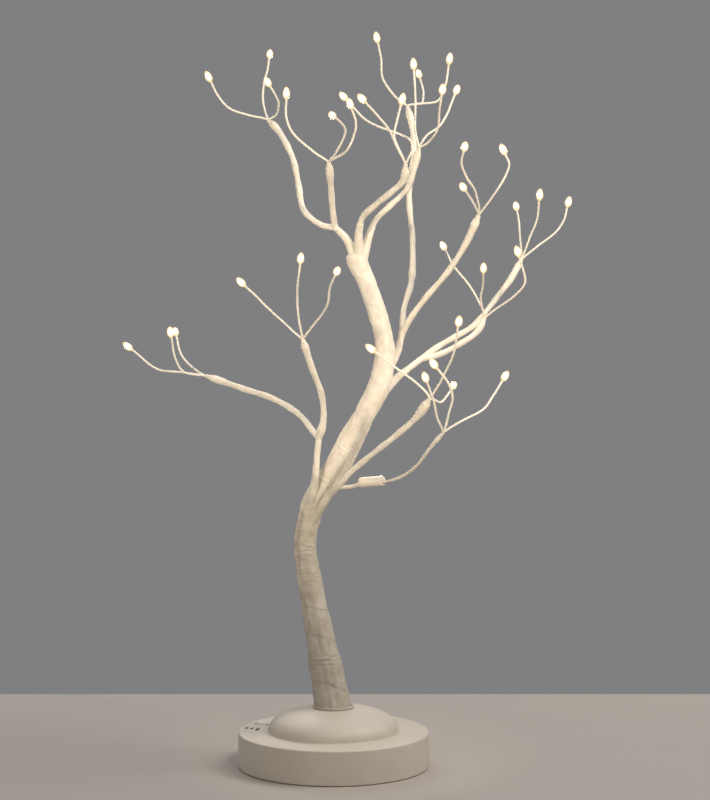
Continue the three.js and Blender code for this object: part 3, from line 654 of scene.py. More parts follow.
@dataclass(frozen=True)
class PrintInk:
    """Dark printed ink, slightly worn."""

    name: str

    def material(self) -> bpy.types.Material:
        """Builds the material."""
        surface = Surface(self.name, {"Specular IOR Level": 0.3})
        wear_and_shade = surface.smooth_step(surface.noise(surface.place, 2400.0, 3.0), 0.1, 0.9)
        surface.feed("Base Color", surface.mixed(wear_and_shade, (0.045, 0.04, 0.036), (0.17, 0.15, 0.125)))
        surface.feed("Roughness", 0.6 + 0.15 * wear_and_shade)
        return surface.material


# Meshes and routes


def placed(name: str, mesh: bpy.types.Mesh) -> bpy.types.Object:
    """A new object at the origin that holds the mesh."""
    piece = bpy.data.objects.new(name, mesh)
    bpy.context.scene.collection.objects.link(piece)
    return piece


def turn_outwards(mesh: bpy.types.Mesh, weld: float = 0.0) -> None:
    """Turns a mesh's faces outwards, after its doubles closer than weld are merged."""
    work = bmesh.new()
    work.from_mesh(mesh)
    if weld:
        bmesh.ops.remove_doubles(work, verts=work.verts, dist=weld)
    bmesh.ops.recalc_face_normals(work, faces=work.faces)
    work.to_mesh(mesh)
    work.free()


def shade(mesh: bpy.types.Mesh, sharp_degrees: float = 32.0) -> None:
    """Shades a mesh smooth, with edges kept sharp above an angle."""
    mesh.shade_smooth()
    mesh.set_sharp_from_angle(angle=math.radians(sharp_degrees))


def turned(name: str, profile: Profile, sides: int, closed: bool = False) -> bpy.types.Mesh:
    """Turns an outline about the Z axis.

    Args:
        name: The mesh's name.
        profile: Radius and height of each point, in metres.
        sides: How many steps go round.
        closed: True if the outline's end joins its start, and False if both ends stand on the axis.

    Returns:
        The closed mesh, with REACH from 0 at its lowest point to 1 at its highest.
    """
    work = bmesh.new()
    rings = []
    for radius, height in profile:
        if radius <= 0:
            rings.append([work.verts.new((0, 0, height))] * sides)
            continue
        angles = [2 * math.pi * i / sides for i in range(sides)]
        rings.append([work.verts.new((radius * math.cos(a), radius * math.sin(a), height)) for a in angles])
    pairs = list(zip(rings, rings[1:])) + ([(rings[-1], rings[0])] if closed else [])
    for lower, upper in pairs:
        for i in range(sides):
            after = (i + 1) % sides
            corners = list(dict.fromkeys((lower[i], lower[after], upper[after], upper[i])))
            if len(corners) > 2:
                work.faces.new(corners)
    bmesh.ops.recalc_face_normals(work, faces=work.faces)
    mesh = bpy.data.meshes.new(name)
    work.to_mesh(mesh)
    work.free()
    low = min(height for _, height in profile)
    high = max(height for _, height in profile)
    reach = mesh.attributes.new(REACH, "FLOAT", "POINT")
    reach.data.foreach_set("value", [(v.co.z - low) / (high - low) for v in mesh.vertices])
    shade(mesh)
    return mesh


def box_mesh(name: str, low: Vector, high: Vector, edge: float) -> bpy.types.Mesh:
    """A block between two corners, with rounded edges."""
    work = bmesh.new()
    bmesh.ops.create_cube(work, size=1.0)
    size = high - low
    bmesh.ops.scale(work, vec=size, verts=work.verts)
    bmesh.ops.translate(work, vec=(low + high) / 2, verts=work.verts)
    bmesh.ops.bevel(
        work, geom=list(work.edges) + list(work.verts), offset=edge, segments=3, profile=0.5, affect="EDGES"
    )
    mesh = bpy.data.meshes.new(name)
    work.to_mesh(mesh)
    work.free()
    shade(mesh, 40.0)
    return mesh


def joined(name: str, meshes: Sequence[bpy.types.Mesh]) -> bpy.types.Mesh:
    """One mesh that holds all the given ones, each still its own closed shell."""
    work = bmesh.new()
    for mesh in meshes:
        work.from_mesh(mesh)
    whole = bpy.data.meshes.new(name)
    work.to_mesh(whole)
    work.free()
    shade(whole, 40.0)
    return whole


def cut(name: str, mesh: bpy.types.Mesh, cutter: bpy.types.Mesh) -> bpy.types.Mesh:
    """The mesh less the cutter."""
    whole = placed(name, mesh)
    tool = placed(f"{name}_cutter", cutter)
    modifier = whole.modifiers.new("cut", "BOOLEAN")
    modifier.object = tool
    modifier.operation = "DIFFERENCE"
    modifier.solver = "EXACT"
    graph = bpy.context.evaluated_depsgraph_get()
    made = bpy.data.meshes.new_from_object(whole.evaluated_get(graph), depsgraph=graph)
    bpy.data.objects.remove(whole)
    bpy.data.objects.remove(tool)
    shade(made)
    return made


def points_mesh(name: str, points: Sequence[Vector], aims: Sequence[Vector]) -> bpy.types.Object:
    """A seed for set_out_tree or coil_tree: loose points, each with its direction."""
    mesh = bpy.data.meshes.new(name)
    mesh.from_pydata([tuple(point) for point in points], [], [])
    aim = mesh.attributes.new(AIM, "FLOAT_VECTOR", "POINT")
    aim.data.foreach_set("vector", [axis for direction in aims for axis in direction.normalized()])
    return placed(name, mesh)


class Route:
    """A smooth line through given points, measured along its length."""

    SAMPLES = 24

    def __init__(self, points: Sequence[Vector]) -> None:
        """Draws a centripetal curve through the points."""
        ends = [2 * points[0] - points[1], *points, 2 * points[-1] - points[-2]]
        self.samples: list[Vector] = [points[0].copy()]
        for i in range(len(points) - 1):
            self.samples.extend(self._span(*ends[i : i + 4]))
        gaps = [(b - a).length for a, b in zip(self.samples, self.samples[1:])]
        self.marks = [0.0, *accumulate(gaps)]
        self.length = self.marks[-1]

    def _span(self, before: Vector, start: Vector, end: Vector, after: Vector) -> list[Vector]:
        """Samples one span, without its start."""
        first, middle, last = (
            math.sqrt((b - a).length) for a, b in ((before, start), (start, end), (end, after))
        )
        over_start = (end - before) / (first + middle)
        over_end = (after - start) / (middle + last)
        leave = ((start - before) / first - over_start + (end - start) / middle) * middle
        arrive = ((end - start) / middle - over_end + (after - end) / last) * middle
        made = []
        for i in range(1, self.SAMPLES + 1):
            t = i / self.SAMPLES
            bend = -3 * start + 3 * end - 2 * leave - arrive
            rest = 2 * start - 2 * end + leave + arrive
            made.append(start + leave * t + bend * t**2 + rest * t**3)
        return made

    def point(self, distance: float) -> Vector:
        """The point at a distance from the start."""
        place = min(max(distance, 0.0), self.length)
        after = min(max(bisect_left(self.marks, place), 1), len(self.marks) - 1)
        gap = self.marks[after] - self.marks[after - 1]
        share = (place - self.marks[after - 1]) / gap if gap else 0.0
        return self.samples[after - 1].lerp(self.samples[after], share)

    def direction(self, distance: float) -> Vector:
        """The way that the line runs at a distance from the start."""
        half = 0.2 * MM
        return (self.point(distance + half) - self.point(distance - half)).normalized()

    def mark(self, index: int) -> float:
        """The distance of one of the given points from the start."""
        return self.marks[index * self.SAMPLES]

    def distance_at_height(self, height: float) -> float:
        """The distance at which a rising line reaches a height."""
        after = next(i for i, sample in enumerate(self.samples) if sample.z >= height)
        return self.marks[after]


@dataclass
class Strand:
    """One wound line: its points, and at each its radius, the tape's turns, gathers and edge strength."""

    points: list[Vector]
    radii: list[float]
    turns: list[float]
    gathers: list[float]
    edges: list[float]


Along = Callable[[float], float]


def strand_along(
    route: Route,
    radius: Along,
    turns: Along,
    gather: Along = lambda _: 0.0,
    edge: Along = lambda _: 0.0,
    start: float = 0.0,
    step: float = 0.8 * MM,
) -> Strand:
    """A strand that follows a route to its end.

    Args:
        route: The line to follow.
        radius: The strand's radius at a distance from the route's start.
        turns: The tape's turns by that distance.
        gather: How far the tape is gathered there, from 0 to 1.
        edge: How far the tape's edges stand out there, from 0 to 1.
        start: Where the strand starts.
        step: The gap between its points.

    Returns:
        The strand.
    """
    count = max(2, math.ceil((route.length - start) / step))
    distances = [start + (route.length - start) * i / count for i in range(count + 1)]
    rows = [[of(distance) for distance in distances] for of in (radius, turns, gather, edge)]
    return Strand([route.point(distance) for distance in distances], *rows)


def wandering(strand: Strand, reach: float, pitch: float, seed: int) -> Strand:
    """The strand with soft kinks, and both its ends left where they are.

    Args:
        strand: The strand to bend.
        reach: How far it strays.
        pitch: The usual length between kinks.
        seed: The seed for the kinks.

    Returns:
        The same strand, with its points moved.
    """
    draw = random.Random(seed)
    kinks = [Vector([draw.uniform(-1, 1) for _ in range(3)]) * reach for _ in range(64)]
    passed = [0.0, *accumulate((b - a).length for a, b in zip(strand.points, strand.points[1:]))]
    for index, gone in enumerate(passed):
        place = gone / pitch
        low, share = int(place) % 63, place % 1
        hold = min(1.0, gone / pitch, (passed[-1] - gone) / pitch)
        strand.points[index] = strand.points[index] + kinks[low].lerp(kinks[low + 1], eased(share)) * hold
    return strand


def strands_mesh(name: str, strands: Sequence[Strand]) -> bpy.types.Object:
    """A seed for wound_tree: one open line of edges for each strand."""
    points: list[Vector] = []
    edges: list[tuple[int, int]] = []
    for strand in strands:
        first = len(points)
        points.extend(strand.points)
        edges.extend((i, i + 1) for i in range(first, len(points) - 1))
    mesh = bpy.data.meshes.new(name)
    mesh.from_pydata([tuple(point) for point in points], edges, [])
    for label, rows in ((WOUND_RADIUS, "radii"), (TURNS, "turns"), (GATHER, "gathers"), (EDGE, "edges")):
        values = [value for strand in strands for value in getattr(strand, rows)]
        mesh.attributes.new(label, "FLOAT", "POINT").data.foreach_set("value", values)
    return placed(name, mesh)


def eased(share: float) -> float:
    """A soft step from 0 to 1."""
    held = min(max(share, 0.0), 1.0)
    return held * held * (3 - 2 * held)


def dress(piece: bpy.types.Object, *materials: bpy.types.Material) -> bpy.types.Object:
    """Gives a piece its materials, in place of what it has."""
    piece.data.materials.clear()
    for material in materials:
        piece.data.materials.append(material)
    return piece


# The tree


@dataclass(frozen=True)
class Wrap:
    """How finely one kind of line is wound and how high each of its forms stands, in millimetres."""

    step: float
    sides: int
    edge: float = 0.0
    gather: float = 0.0
    gather_pitch: float = 1.0
    ridge: float = 0.0
    fold: float = 0.0
    full_radius: float = 1.0
    smooth_after: float = 1000.0

    def inputs(self, seed: int, material: bpy.types.Material) -> dict:
        """The values for wound_tree's inputs, by name."""
        lengths = {
            "Step": self.step,
            "Edge Height": self.edge,
            "Gather Height": self.gather,
            "Gather Pitch": self.gather_pitch,
            "Ridge Height": self.ridge,
            "Fold Height": self.fold,
            "Full Radius": self.full_radius,
            "Smooth After": self.smooth_after,
        }
        scaled = {name: length * MM for name, length in lengths.items()}
        return {**scaled, "Sides": self.sides, "Seed": float(seed), "Material": material}


TRUNK_WRAP = Wrap(
    0.55,
    88,
    edge=0.9,
    gather=0.33,
    gather_pitch=2.9,
    ridge=2.6,
    fold=1.9,
    full_radius=6.0,
    smooth_after=125.0,
)
ROOT_WRAP = Wrap(0.5, 36, edge=0.16, gather=0.08, gather_pitch=1.5, ridge=0.3, fold=0.12, full_radius=2.0)
STEM_WRAP = Wrap(0.6, 26, edge=0.22, gather=0.09, gather_pitch=1.6, ridge=0.5, fold=0.22, full_radius=2.4)
WIRE_WRAP = Wrap(1.1, 12, fold=0.05, full_radius=0.66)
LEAD_WRAP = Wrap(0.8, 10, fold=0.02, full_radius=0.55)


@dataclass(frozen=True)
class Stem:
    """A wrapped stem, in millimetres: its route from the fork, and each light wire's from its tip."""

    route: tuple[Offset, ...]
    wires: tuple[tuple[Offset, ...], ...]
    radius: float = 1.8
    swell: float = 2.2
    spliced: bool = False
    knots: tuple[float, ...] = ()


@dataclass(frozen=True)
class Limb:
    """A limb: where its wires leave the trunk, its shared stretch from the pivot, and its stems."""

    name: str
    leaves_trunk: float
    shared: tuple[Offset, ...]
    stems: tuple[Stem, ...]
    seed: int


# Routes repeat the solid's own, as offsets in millimetres: shared stretches from the pivot, stems from the
# fork, and light wires from their stem's tip. Heights on the trunk count from the dome's top.
TRUNK: tuple[tuple[Offset, float], ...] = (
    ((0, 0, -2), 11.4),
    ((-4, 2, 21), 10),
    ((-9, 4, 47), 8.3),
    ((-14, 6, 73), 7.2),
    ((-18, 7, 100), 6.4),
    ((-16, 6, 116), 6.4),
    ((-11, 4, 132), 6.7),
    ((-1, 1, 146), 7.8),
    ((10, -1, 167), 7.6),
    ((19, -3, 184), 6.3),
    ((27, -3, 199), 6.7),
    ((32, -2, 219), 6.1),
    ((31, 0, 235), 5.4),
    ((27, 2, 249), 5.7),
    ((22, 4, 264), 5.5),
    ((16, 5, 278), 5.8),
    ((13, 6, 287), 5.8),
)

LIMBS: tuple[Limb, ...] = (
    Limb(
        "left",
        118,
        ((1, -1, 14), (2, -2, 23)),
        (
            Stem(
                ((3, -4, 13), (2, -10, 28), (-4, -21, 46), (-9, -33, 63)),
                (
                    ((-2, -7, 12), (-3, -17, 28), (-1, -27, 46)),
                    ((-9, 2, 8), (-23, 7, 21), (-35, 13, 32)),
                    ((8, -11, 11), (15, -27, 22), (17, -39, 33), (20, -48, 40)),
                ),
                knots=(0.12,),
            ),
            Stem(
                ((-4, 5, 5), (-12, 13, 14), (-28, 25, 23), (-49, 40, 29), (-73, 56, 36)),
                (
                    ((-15, 4, 2), (-32, 7, 4), (-48, 10, 16)),
                    ((-14, -4, 3), (-19, -10, 12), (-21, -16, 25)),
                    ((-10, 12, 5), (-18, 26, 13), (-22, 40, 24)),
                ),
            ),
        ),
        seed=3,
    ),
    Limb(
        "top_left",
        276,
        ((-6, 3, 6),),
        (
            Stem(
                ((-9, 4, 2), (-20, 13, 11), (-24, 27, 28), (-28, 41, 45), (-37, 55, 62), (-44, 62, 70)),
                (
                    ((-13, 0, 3), (-26, 0, 8), (-33, 0, 16), (-37, 0, 24)),
                    ((-4, 12, 12), (-4, 25, 25), (-2, 32, 34), (-1, 38, 42)),
                    ((5, -5, 3), (7, -12, 10), (5, -17, 15), (2, -21, 20)),
                ),
            ),
            Stem(
                ((-2, -9, 12), (-3, -22, 26), (-4, -37, 40)),
                (
                    ((-9, 1, 6), (-22, 5, 18), (-26, 7, 28), (-26, 9, 38)),
                    ((4, -9, 5), (10, -21, 17), (8, -31, 22), (4, -41, 25)),
                    ((10, -2, 6), (16, -6, 18), (16, -10, 25), (14, -14, 31)),
                ),
            ),
        ),
        seed=5,
    ),
    Limb(
        "top_middle",
        278,
        (),
        (
            Stem(
                ((2, -6, 9), (10, -16, 17), (20, -26, 25), (27, -33, 32), (28, -40, 41)),
                (
                    ((-6, -10, 11), (-10, -19, 20), (-17, -28, 28), (-24, -36, 35)),
                    ((-5, -1, 11), (-7, 0, 17), (-5, 1, 27), (-3, 2, 35)),
                    ((4, 4, 9), (3, 9, 15), (-2, 13, 18), (-12, 18, 22), (-24, 26, 28), (-35, 34, 40)),
                ),
            ),
        ),
        seed=8,
    ),
    Limb(
        "top_right",
        276,
        (),
        (
            Stem(
                ((4, 1, 10), (15, 2, 21), (24, 2, 30), (28, -1, 42), (31, -4, 55)),
                (
                    ((-2, 1, 9), (-2, 4, 29), (-3, 7, 48)),
                    ((5, -5, 3), (11, -12, 11), (12, -21, 22), (13, -29, 31)),
                    ((5, 4, 8), (12, 8, 13), (18, 15, 22), (23, 23, 34)),
                ),
            ),
        ),
        seed=13,
    ),
    Limb(
        "right_upper",
        204,
        ((2, 1, 8),),
        (
            Stem(
                (
                    (2, 9, 18),
                    (7, 19, 35),
                    (8, 31, 60),
                    (6, 41, 87),
                    (7, 44, 103),
                    (9, 47, 118),
                    (8, 51, 134),
                    (5, 55, 147),
                ),
                (
                    ((-8, -3, 6), (-16, -6, 18), (-17, -9, 30), (-19, -13, 39)),
                    ((5, 7, 2), (10, 17, 3), (11, 27, 11), (9, 35, 20)),
                    ((10, 4, 2), (20, 7, 4), (25, 10, 14), (27, 12, 27)),
                ),
                knots=(0.3,),
            ),
            Stem(
                ((5, -3, 11), (15, -6, 25), (29, -13, 42), (39, -19, 58), (47, -26, 76)),
                (
                    ((-2, -12, 13), (-9, -24, 24), (-12, -32, 32), (-11, -39, 38)),
                    ((8, 1, 11), (17, 4, 25), (19, 6, 32), (17, 8, 37)),
                    ((-4, -10, 8), (-9, -20, 15)),
                ),
                swell=2.6,
            ),
        ),
        seed=21,
    ),
    Limb(
        "right_middle",
        188,
        ((13, 10, 9),),
        (
            Stem(
                (
                    (10, 8, 7),
                    (23, 18, 14),
                    (34, 26, 20),
                    (43, 34, 29),
                    (52, 42, 40),
                    (60, 49, 50),
                    (67, 56, 62),
                ),
                (
                    ((0, 11, 14), (0, 20, 24), (-1, 27, 32)),
                    ((6, -1, 16), (10, -3, 27), (11, -6, 38)),
                    ((11, 3, 9), (24, 8, 19), (29, 12, 27), (31, 15, 34)),
                ),
            ),
            Stem(
                ((12, 6, 3), (25, 15, 9), (36, 23, 16), (42, 30, 25)),
                (
                    ((-8, 9, 19), (-19, 19, 33), (-24, 27, 43)),
                    ((-3, -9, 13), (-2, -15, 21), (-2, -20, 29)),
                    ((7, -2, 6), (19, -8, 15), (25, -12, 23), (23, -15, 33), (21, -17, 39)),
                ),
            ),
        ),
        seed=34,
    ),
    Limb(
        "right_lower",
        112,
        ((4, -5, 4),),
        (
            Stem(
                ((8, -7, 10), (20, -16, 21), (36, -29, 35), (49, -41, 48), (56, -49, 59)),
                (
                    ((-8, 0, 9), (-19, 1, 17), (-32, 2, 27)),
                    ((6, 8, -3), (11, 20, 0), (14, 29, 4)),
                    ((4, -6, 7), (8, -13, 15), (13, -24, 28), (15, -36, 44)),
                ),
                swell=2.6,
            ),
            Stem(
                (
                    (8, -3, 1),
                    (15, -7, 3),
                    (29, -13, 5),
                    (40, -27, 10),
                    (49, -45, 19),
                    (55, -59, 29),
                    (63, -70, 40),
                ),
                (
                    ((3, -5, 11), (5, -11, 22), (2, -16, 31), (-4, -21, 39)),
                    ((10, 4, 6), (24, 11, 13), (30, 17, 20), (36, 23, 29)),
                    ((-4, -9, 10), (-6, -16, 20), (-10, -23, 31)),
                ),
                radius=0.9,
                swell=1.3,
                spliced=True,
            ),
        ),
        seed=55,
    ),
)


def spread(start: Vector, offsets: Sequence[Offset]) -> list[Vector]:
    """Points at offsets in millimetres from a start in metres."""
    return [start + Vector(offset) * MM for offset in offsets]


@dataclass
class Trunk:
    """The wrapped trunk, its foot ring, and the roots by which each limb's wires leave it."""

    tree: ShapeTree
    paper: bpy.types.Material
    dome_top: Vector
    tape_edges: tuple[float, ...] = (-18, 17, 46, 64, 86, 104, 121, 140, 161, 182, 204, 228, 252, 270, 286)
    # Height on the trunk, half length and depth of each stretch where the tape is gathered into rings
    gathered: tuple[tuple[float, float, float], ...] = (
        (29, 3.5, 0.9),
        (54, 3, 0.4),
        (67, 3, 0.5),
        (84, 6, 0.5),
        (98, 5.5, 0.9),
        (112, 5, 0.4),
        (128, 5, 0.3),
        (143, 4, 0.6),
        (163, 6, 0.55),
        (180, 4, 0.3),
        (283, 5, 0.7),
    )
    # Height of each stretch where the tape's edges stand out, its half length and their strength
    edged: tuple[tuple[float, float, float], ...] = (
        (17, 12, 1.0),
        (60, 12, 0.8),
        (92, 14, 0.6),
        (150, 14, 0.5),
        (280, 12, 0.8),
    )
    plain_edge: float = 0.5
    seed: int = 2
    cuff_height: float = 0.7 * MM
    cuff_drop: float = 6.0 * MM
    cap: float = 4.0 * MM
    foot_start: float = 2.2 * MM
    foot_depth: float = 1.6 * MM
    foot_step: float = 1.0 * MM
    foot_ring: tuple[float, float] = (12.0 * MM, 0.95 * MM)
    foot_ring_lift: float = 0.85
    root_radius: float = 2.15 * MM
    root_spread: float = 3.5 * MM
    root_past_pivot: float = 9.0 * MM
    root_tuck: float = 0.35
    root_tuck_length: float = 3.0 * MM
    root_tape_pitch: float = 9.0 * MM
    blend_half: float = 5.0 * MM
    route: Route = field(init=False)

    def __post_init__(self) -> None:
        """Draws the trunk's middle line."""
        self.route = Route(spread(self.dome_top, [at for at, _ in TRUNK]))

    def radius(self, distance: float) -> float:
        """The wrapped radius at a distance along the trunk."""
        for index in range(1, len(TRUNK)):
            if distance <= self.route.mark(index) or index == len(TRUNK) - 1:
                break
        start, end = self.route.mark(index - 1), self.route.mark(index)
        share = eased((distance - start) / (end - start))
        return MM * (TRUNK[index - 1][1] * (1 - share) + TRUNK[index][1] * share)

    def rounded(self, distance: float) -> float:
        """The radius with a cuff near the trunk's top, which is drawn in to a dome."""
        left = self.route.length - distance
        cuff = self.cuff_height * math.exp(-(((left - self.cuff_drop) / self.cap) ** 2))
        share = left / self.cap
        drawn_in = 1.0 if share >= 1 else math.sqrt(max(0.02, 1 - (1 - share) ** 2))
        return (self.radius(distance) + cuff) * drawn_in

    def turns(self, distance: float) -> float:
        """How many turns the tape has made, so that its edges cross the front at the heights given."""
        height = (self.route.point(distance) - self.dome_top).z / MM
        edges = self.tape_edges
        above = min(max(bisect_left(edges, height), 1), len(edges) - 1)
        return above - 0.5 + (height - edges[above - 1]) / (edges[above] - edges[above - 1])

    def _strength(self, rows: Sequence[tuple[float, float, float]], distance: float) -> float:
        """The strongest of the rows' stretches at a distance along the trunk."""
        height = (self.route.point(distance) - self.dome_top).z / MM
        return max(depth * math.exp(-(((height - at) / half) ** 2)) for at, half, depth in rows)

    def build(self) -> bpy.types.Object:
        """Makes the wrapped trunk with its foot standing square in the socket."""
        strand = strand_along(
            self.route,
            self.rounded,
            self.turns,
            lambda distance: self._strength(self.gathered, distance),
            lambda distance: max(self.plain_edge, self._strength(self.edged, distance)),
            start=self.foot_start,
            step=0.6 * MM,
        )
        foot = self.dome_top.z - self.foot_depth
        for height in (foot + self.foot_step, foot):
            strand.points.insert(0, Vector((strand.points[0].x * 0.8, strand.points[0].y * 0.8, height)))
            strand.radii.insert(0, self.radius(0.0))
            strand.turns.insert(0, strand.turns[0] - 0.05)
            strand.gathers.insert(0, 0.0)
            strand.edges.insert(0, 0.0)
        piece = self.tree.grow(
            "trunk_winding",
            strands_mesh("trunk_line", [strand]),
            TRUNK_WRAP.inputs(self.seed, self.paper),
        )
        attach(piece, Body.BASE.value)
        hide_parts("trunk")
        return piece

    def build_foot_ring(self) -> bpy.types.Object:
        """The last turn of tape, a thin rolled ring where the trunk meets the dome."""
        radius, bead = self.foot_ring
        steps = 12
        angles = [2 * math.pi * i / steps for i in range(steps)]
        foot = self.dome_top.z + bead * self.foot_ring_lift
        profile = [(radius + bead * math.cos(a), foot + bead * math.sin(a)) for a in angles]
        piece = placed("trunk_foot_ring", turned("trunk_foot_ring", profile, 96, closed=True))
        dress(piece, self.paper)
        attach(piece, Body.BASE.value)
        return piece

    def build_root(self, limb: Limb, pivot: Vector, lead: Route) -> bpy.types.Object:
        """The wrapped root that bends between the trunk and a limb.

        Args:
            limb: The limb.
            pivot: The point that the limb bends about.
            lead: The limb's own route from the pivot.

        Returns:
            The piece, whose radius runs from the trunk's down to the limb's; it is attached to neither body.
        """
        start = self.route.point(self.route.distance_at_height(self.dome_top.z + limb.leaves_trunk * MM))
        past = [lead.point(self.root_past_pivot * share) for share in (0.5, 1.0)]
        route = Route([start, pivot, *past])
        at_pivot = route.mark(1)

        def radius(distance: float) -> float:
            """Wide inside the trunk, and down to the limb's own wrap past the pivot."""
            share = eased(distance / (at_pivot + 0.7 * self.root_past_pivot))
            tucked = 1 - self.root_tuck * eased(1 - (route.length - distance) / self.root_tuck_length)
            return tucked * (self.root_spread * (1 - share) + self.root_radius * share)

        strand = strand_along(
            route,
            radius,
            turns=lambda distance: distance / self.root_tape_pitch,
            gather=lambda _: 0.5,
            edge=lambda _: 0.5,
            step=0.6 * MM,
        )
        piece = self.tree.grow(
            f"root_{limb.name}",
            strands_mesh(f"root_line_{limb.name}", [strand]),
            ROOT_WRAP.inputs(limb.seed, self.paper),
        )
        bend_way = (route.direction(at_pivot - 2 * MM) + lead.direction(2 * MM)).normalized()
        pivot - bend_way * self.blend_half
        pivot + bend_way * self.blend_half
        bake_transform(piece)
        return piece


@dataclass
class WrappedLimb:
    """One limb: wrapped stems, bare light wires and drop lights, all on the limb's own body."""

    limb: Limb
    pivot: Vector
    winding: ShapeTree
    set_out: ShapeTree
    paper: bpy.types.Material
    wire: bpy.types.Material
    resin: bpy.types.Material
    core: bpy.types.Material
    root_radius: float = 1.85 * MM
    swell_length: float = 12.0 * MM
    tip_radius: float = 1.25 * MM
    wire_radius: float = 0.66 * MM
    wire_inset: float = 3.0 * MM
    uneven: float = 0.08
    uneven_pitch: float = 3.1 * MM
    uneven_start: float = 25.0 * MM
    knot_height: float = 0.75 * MM
    knot_half_length: float = 3.5 * MM
    tape_pitch: float = 7.5 * MM
    drift_pitch: float = 47 * MM
    spliced_radius: float = 1.25 * MM
    spliced_length: float = 24.0 * MM
    kink: float = 0.18 * MM
    kink_pitch: float = 9.0 * MM
    light_gap: float = 0.3 * MM
    into_light: float = 1.4 * MM
    stems: list[Strand] = field(default_factory=list)
    wires: list[Strand] = field(default_factory=list)
    lights: list[tuple[Vector, Vector]] = field(default_factory=list)
    lead: Route = field(init=False)

    def __post_init__(self) -> None:
        """Lays out every line of the limb."""
        fork = self.pivot
        before: list[Vector] = []
        if self.limb.shared:
            shared = Route([self.pivot, *spread(self.pivot, self.limb.shared)])
            self.stems.append(self._wound(shared, lambda _: self.root_radius, 0))
            fork = shared.point(shared.length)
            before = [fork - shared.direction(shared.length) * self.wire_inset]
            self.lead = shared
        for index, stem in enumerate(self.limb.stems):
            route = Route([*before, fork, *spread(fork, stem.route)])
            if not self.limb.shared:
                self.lead = route
            self.stems.append(self._wound(route, self._stem_radius(stem, route.length), index + 1))
            self._lay_wires(stem, route)

    def _wound(self, route: Route, radius: Along, index: int) -> Strand:
        """A strand with tape turns that drift, and gathers that come and go along it."""
        draw = random.Random(self.limb.seed * 10 + index)
        phase, drift = draw.random(), draw.uniform(0.6, 1.1)
        rate = 2 * math.pi / self.drift_pitch

        def turns(distance: float) -> float:
            """The turns that the tape has made."""
            return phase + distance / self.tape_pitch + drift * math.sin(distance * rate + phase) / 3

        def gather(distance: float) -> float:
            """How far the tape is gathered."""
            return 0.5 + 0.5 * math.sin(distance * rate * 2.3 + 9 * phase)

        return strand_along(route, radius, turns, gather, lambda _: 0.6)

    def _stem_radius(self, stem: Stem, length: float) -> Along:
        """A stem's radius: even, then swollen where its light wires gather, and drawn in at the tip."""
        plain = stem.radius * MM
        swollen = stem.swell * MM
        tip = min(self.tip_radius, plain)

        def radius(distance: float) -> float:
            """The radius at a distance from the stem's start."""
            if stem.spliced and distance < self.spliced_length:
                return self.spliced_radius
            settled = eased(distance / self.uneven_start)
            uneven = 1 + settled * self.uneven * math.sin(distance / self.uneven_pitch + self.limb.seed)
            return uneven * smooth(distance)

        def smooth(distance: float) -> float:
            """The radius before the tape's unevenness."""
            left = length - distance
            half = self.swell_length / 2
            if left < half:
                return tip + (swollen - tip) * eased(left / half)
            settled = eased((left - half) / (2 * self.swell_length - half))
            knots = sum(
                self.knot_height * math.exp(-(((distance - at * length) / self.knot_half_length) ** 2))
                for at in stem.knots
            )
            return swollen * (1 - settled) + plain * settled + knots

        return radius

    def _lay_wires(self, stem: Stem, route: Route) -> None:
        """Lays the light wires of a stem, and the lights at their ends."""
        tip = route.point(route.length)
        inset = tip - route.direction(route.length) * self.wire_inset
        for offsets in stem.wires:
            line = Route([inset, tip, *spread(tip, offsets)])
            end = line.point(line.length)
            aim = line.direction(line.length)
            self.lights.append((end + aim * self.light_gap, aim))
            wire = strand_along(line, lambda _: self.wire_radius, lambda distance: distance, step=1.2 * MM)
            self.wires.append(wandering(wire, self.kink, self.kink_pitch, self.limb.seed + len(self.wires)))

    def build_stems(self) -> bpy.types.Object:
        """Makes the wrapped stems as one piece."""
        piece = self.winding.grow(
            f"stems_{self.limb.name}",
            strands_mesh(f"stem_lines_{self.limb.name}", self.stems),
            STEM_WRAP.inputs(self.limb.seed, self.paper),
        )
        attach(piece, self.limb.name)
        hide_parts(f"limb_{self.limb.name}")
        return piece

    def build_wires(self) -> bpy.types.Object:
        """Makes the thin light wires, each of which ends inside its light."""
        for strand, (_, aim) in zip(self.wires, self.lights):
            strand.points.append(strand.points[-1] + aim * self.into_light)
            strand.radii.append(0.8 * self.wire_radius)
            for row in (strand.turns, strand.gathers, strand.edges):
                row.append(row[-1])
        piece = self.winding.grow(
            f"wires_{self.limb.name}",
            strands_mesh(f"wire_lines_{self.limb.name}", self.wires),
            WIRE_WRAP.inputs(self.limb.seed, self.wire),
        )
        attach(piece, self.limb.name)
        return piece

    def build_lights(self, drop: bpy.types.Object, chip: bpy.types.Object) -> tuple[bpy.types.Object, ...]:
        """Sets a drop light at the end of each wire: the resin, and the lit core in it.

        Args:
            drop: The resin's shape.
            chip: The core's shape.

        Returns:
            The resin drops and the cores.
        """
        made = []
        places = [at for at, _ in self.lights]
        aims = [aim for _, aim in self.lights]
        for label, shape, material in (("lights", drop, self.resin), ("cores", chip, self.core)):
            seed = points_mesh(f"{label}_points_{self.limb.name}", places, aims)
            inputs = {"Piece": shape, "Spread Of Size": 0.06, "Seed": self.limb.seed, "Material": material}
            piece = self.set_out.grow(f"{label}_{self.limb.name}", seed, inputs)
            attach(piece, self.limb.name)
            made.append(piece)
        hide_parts(*(f"light_{self.limb.name}_{i + 1}" for i in range(len(self.lights))))
        return tuple(made)


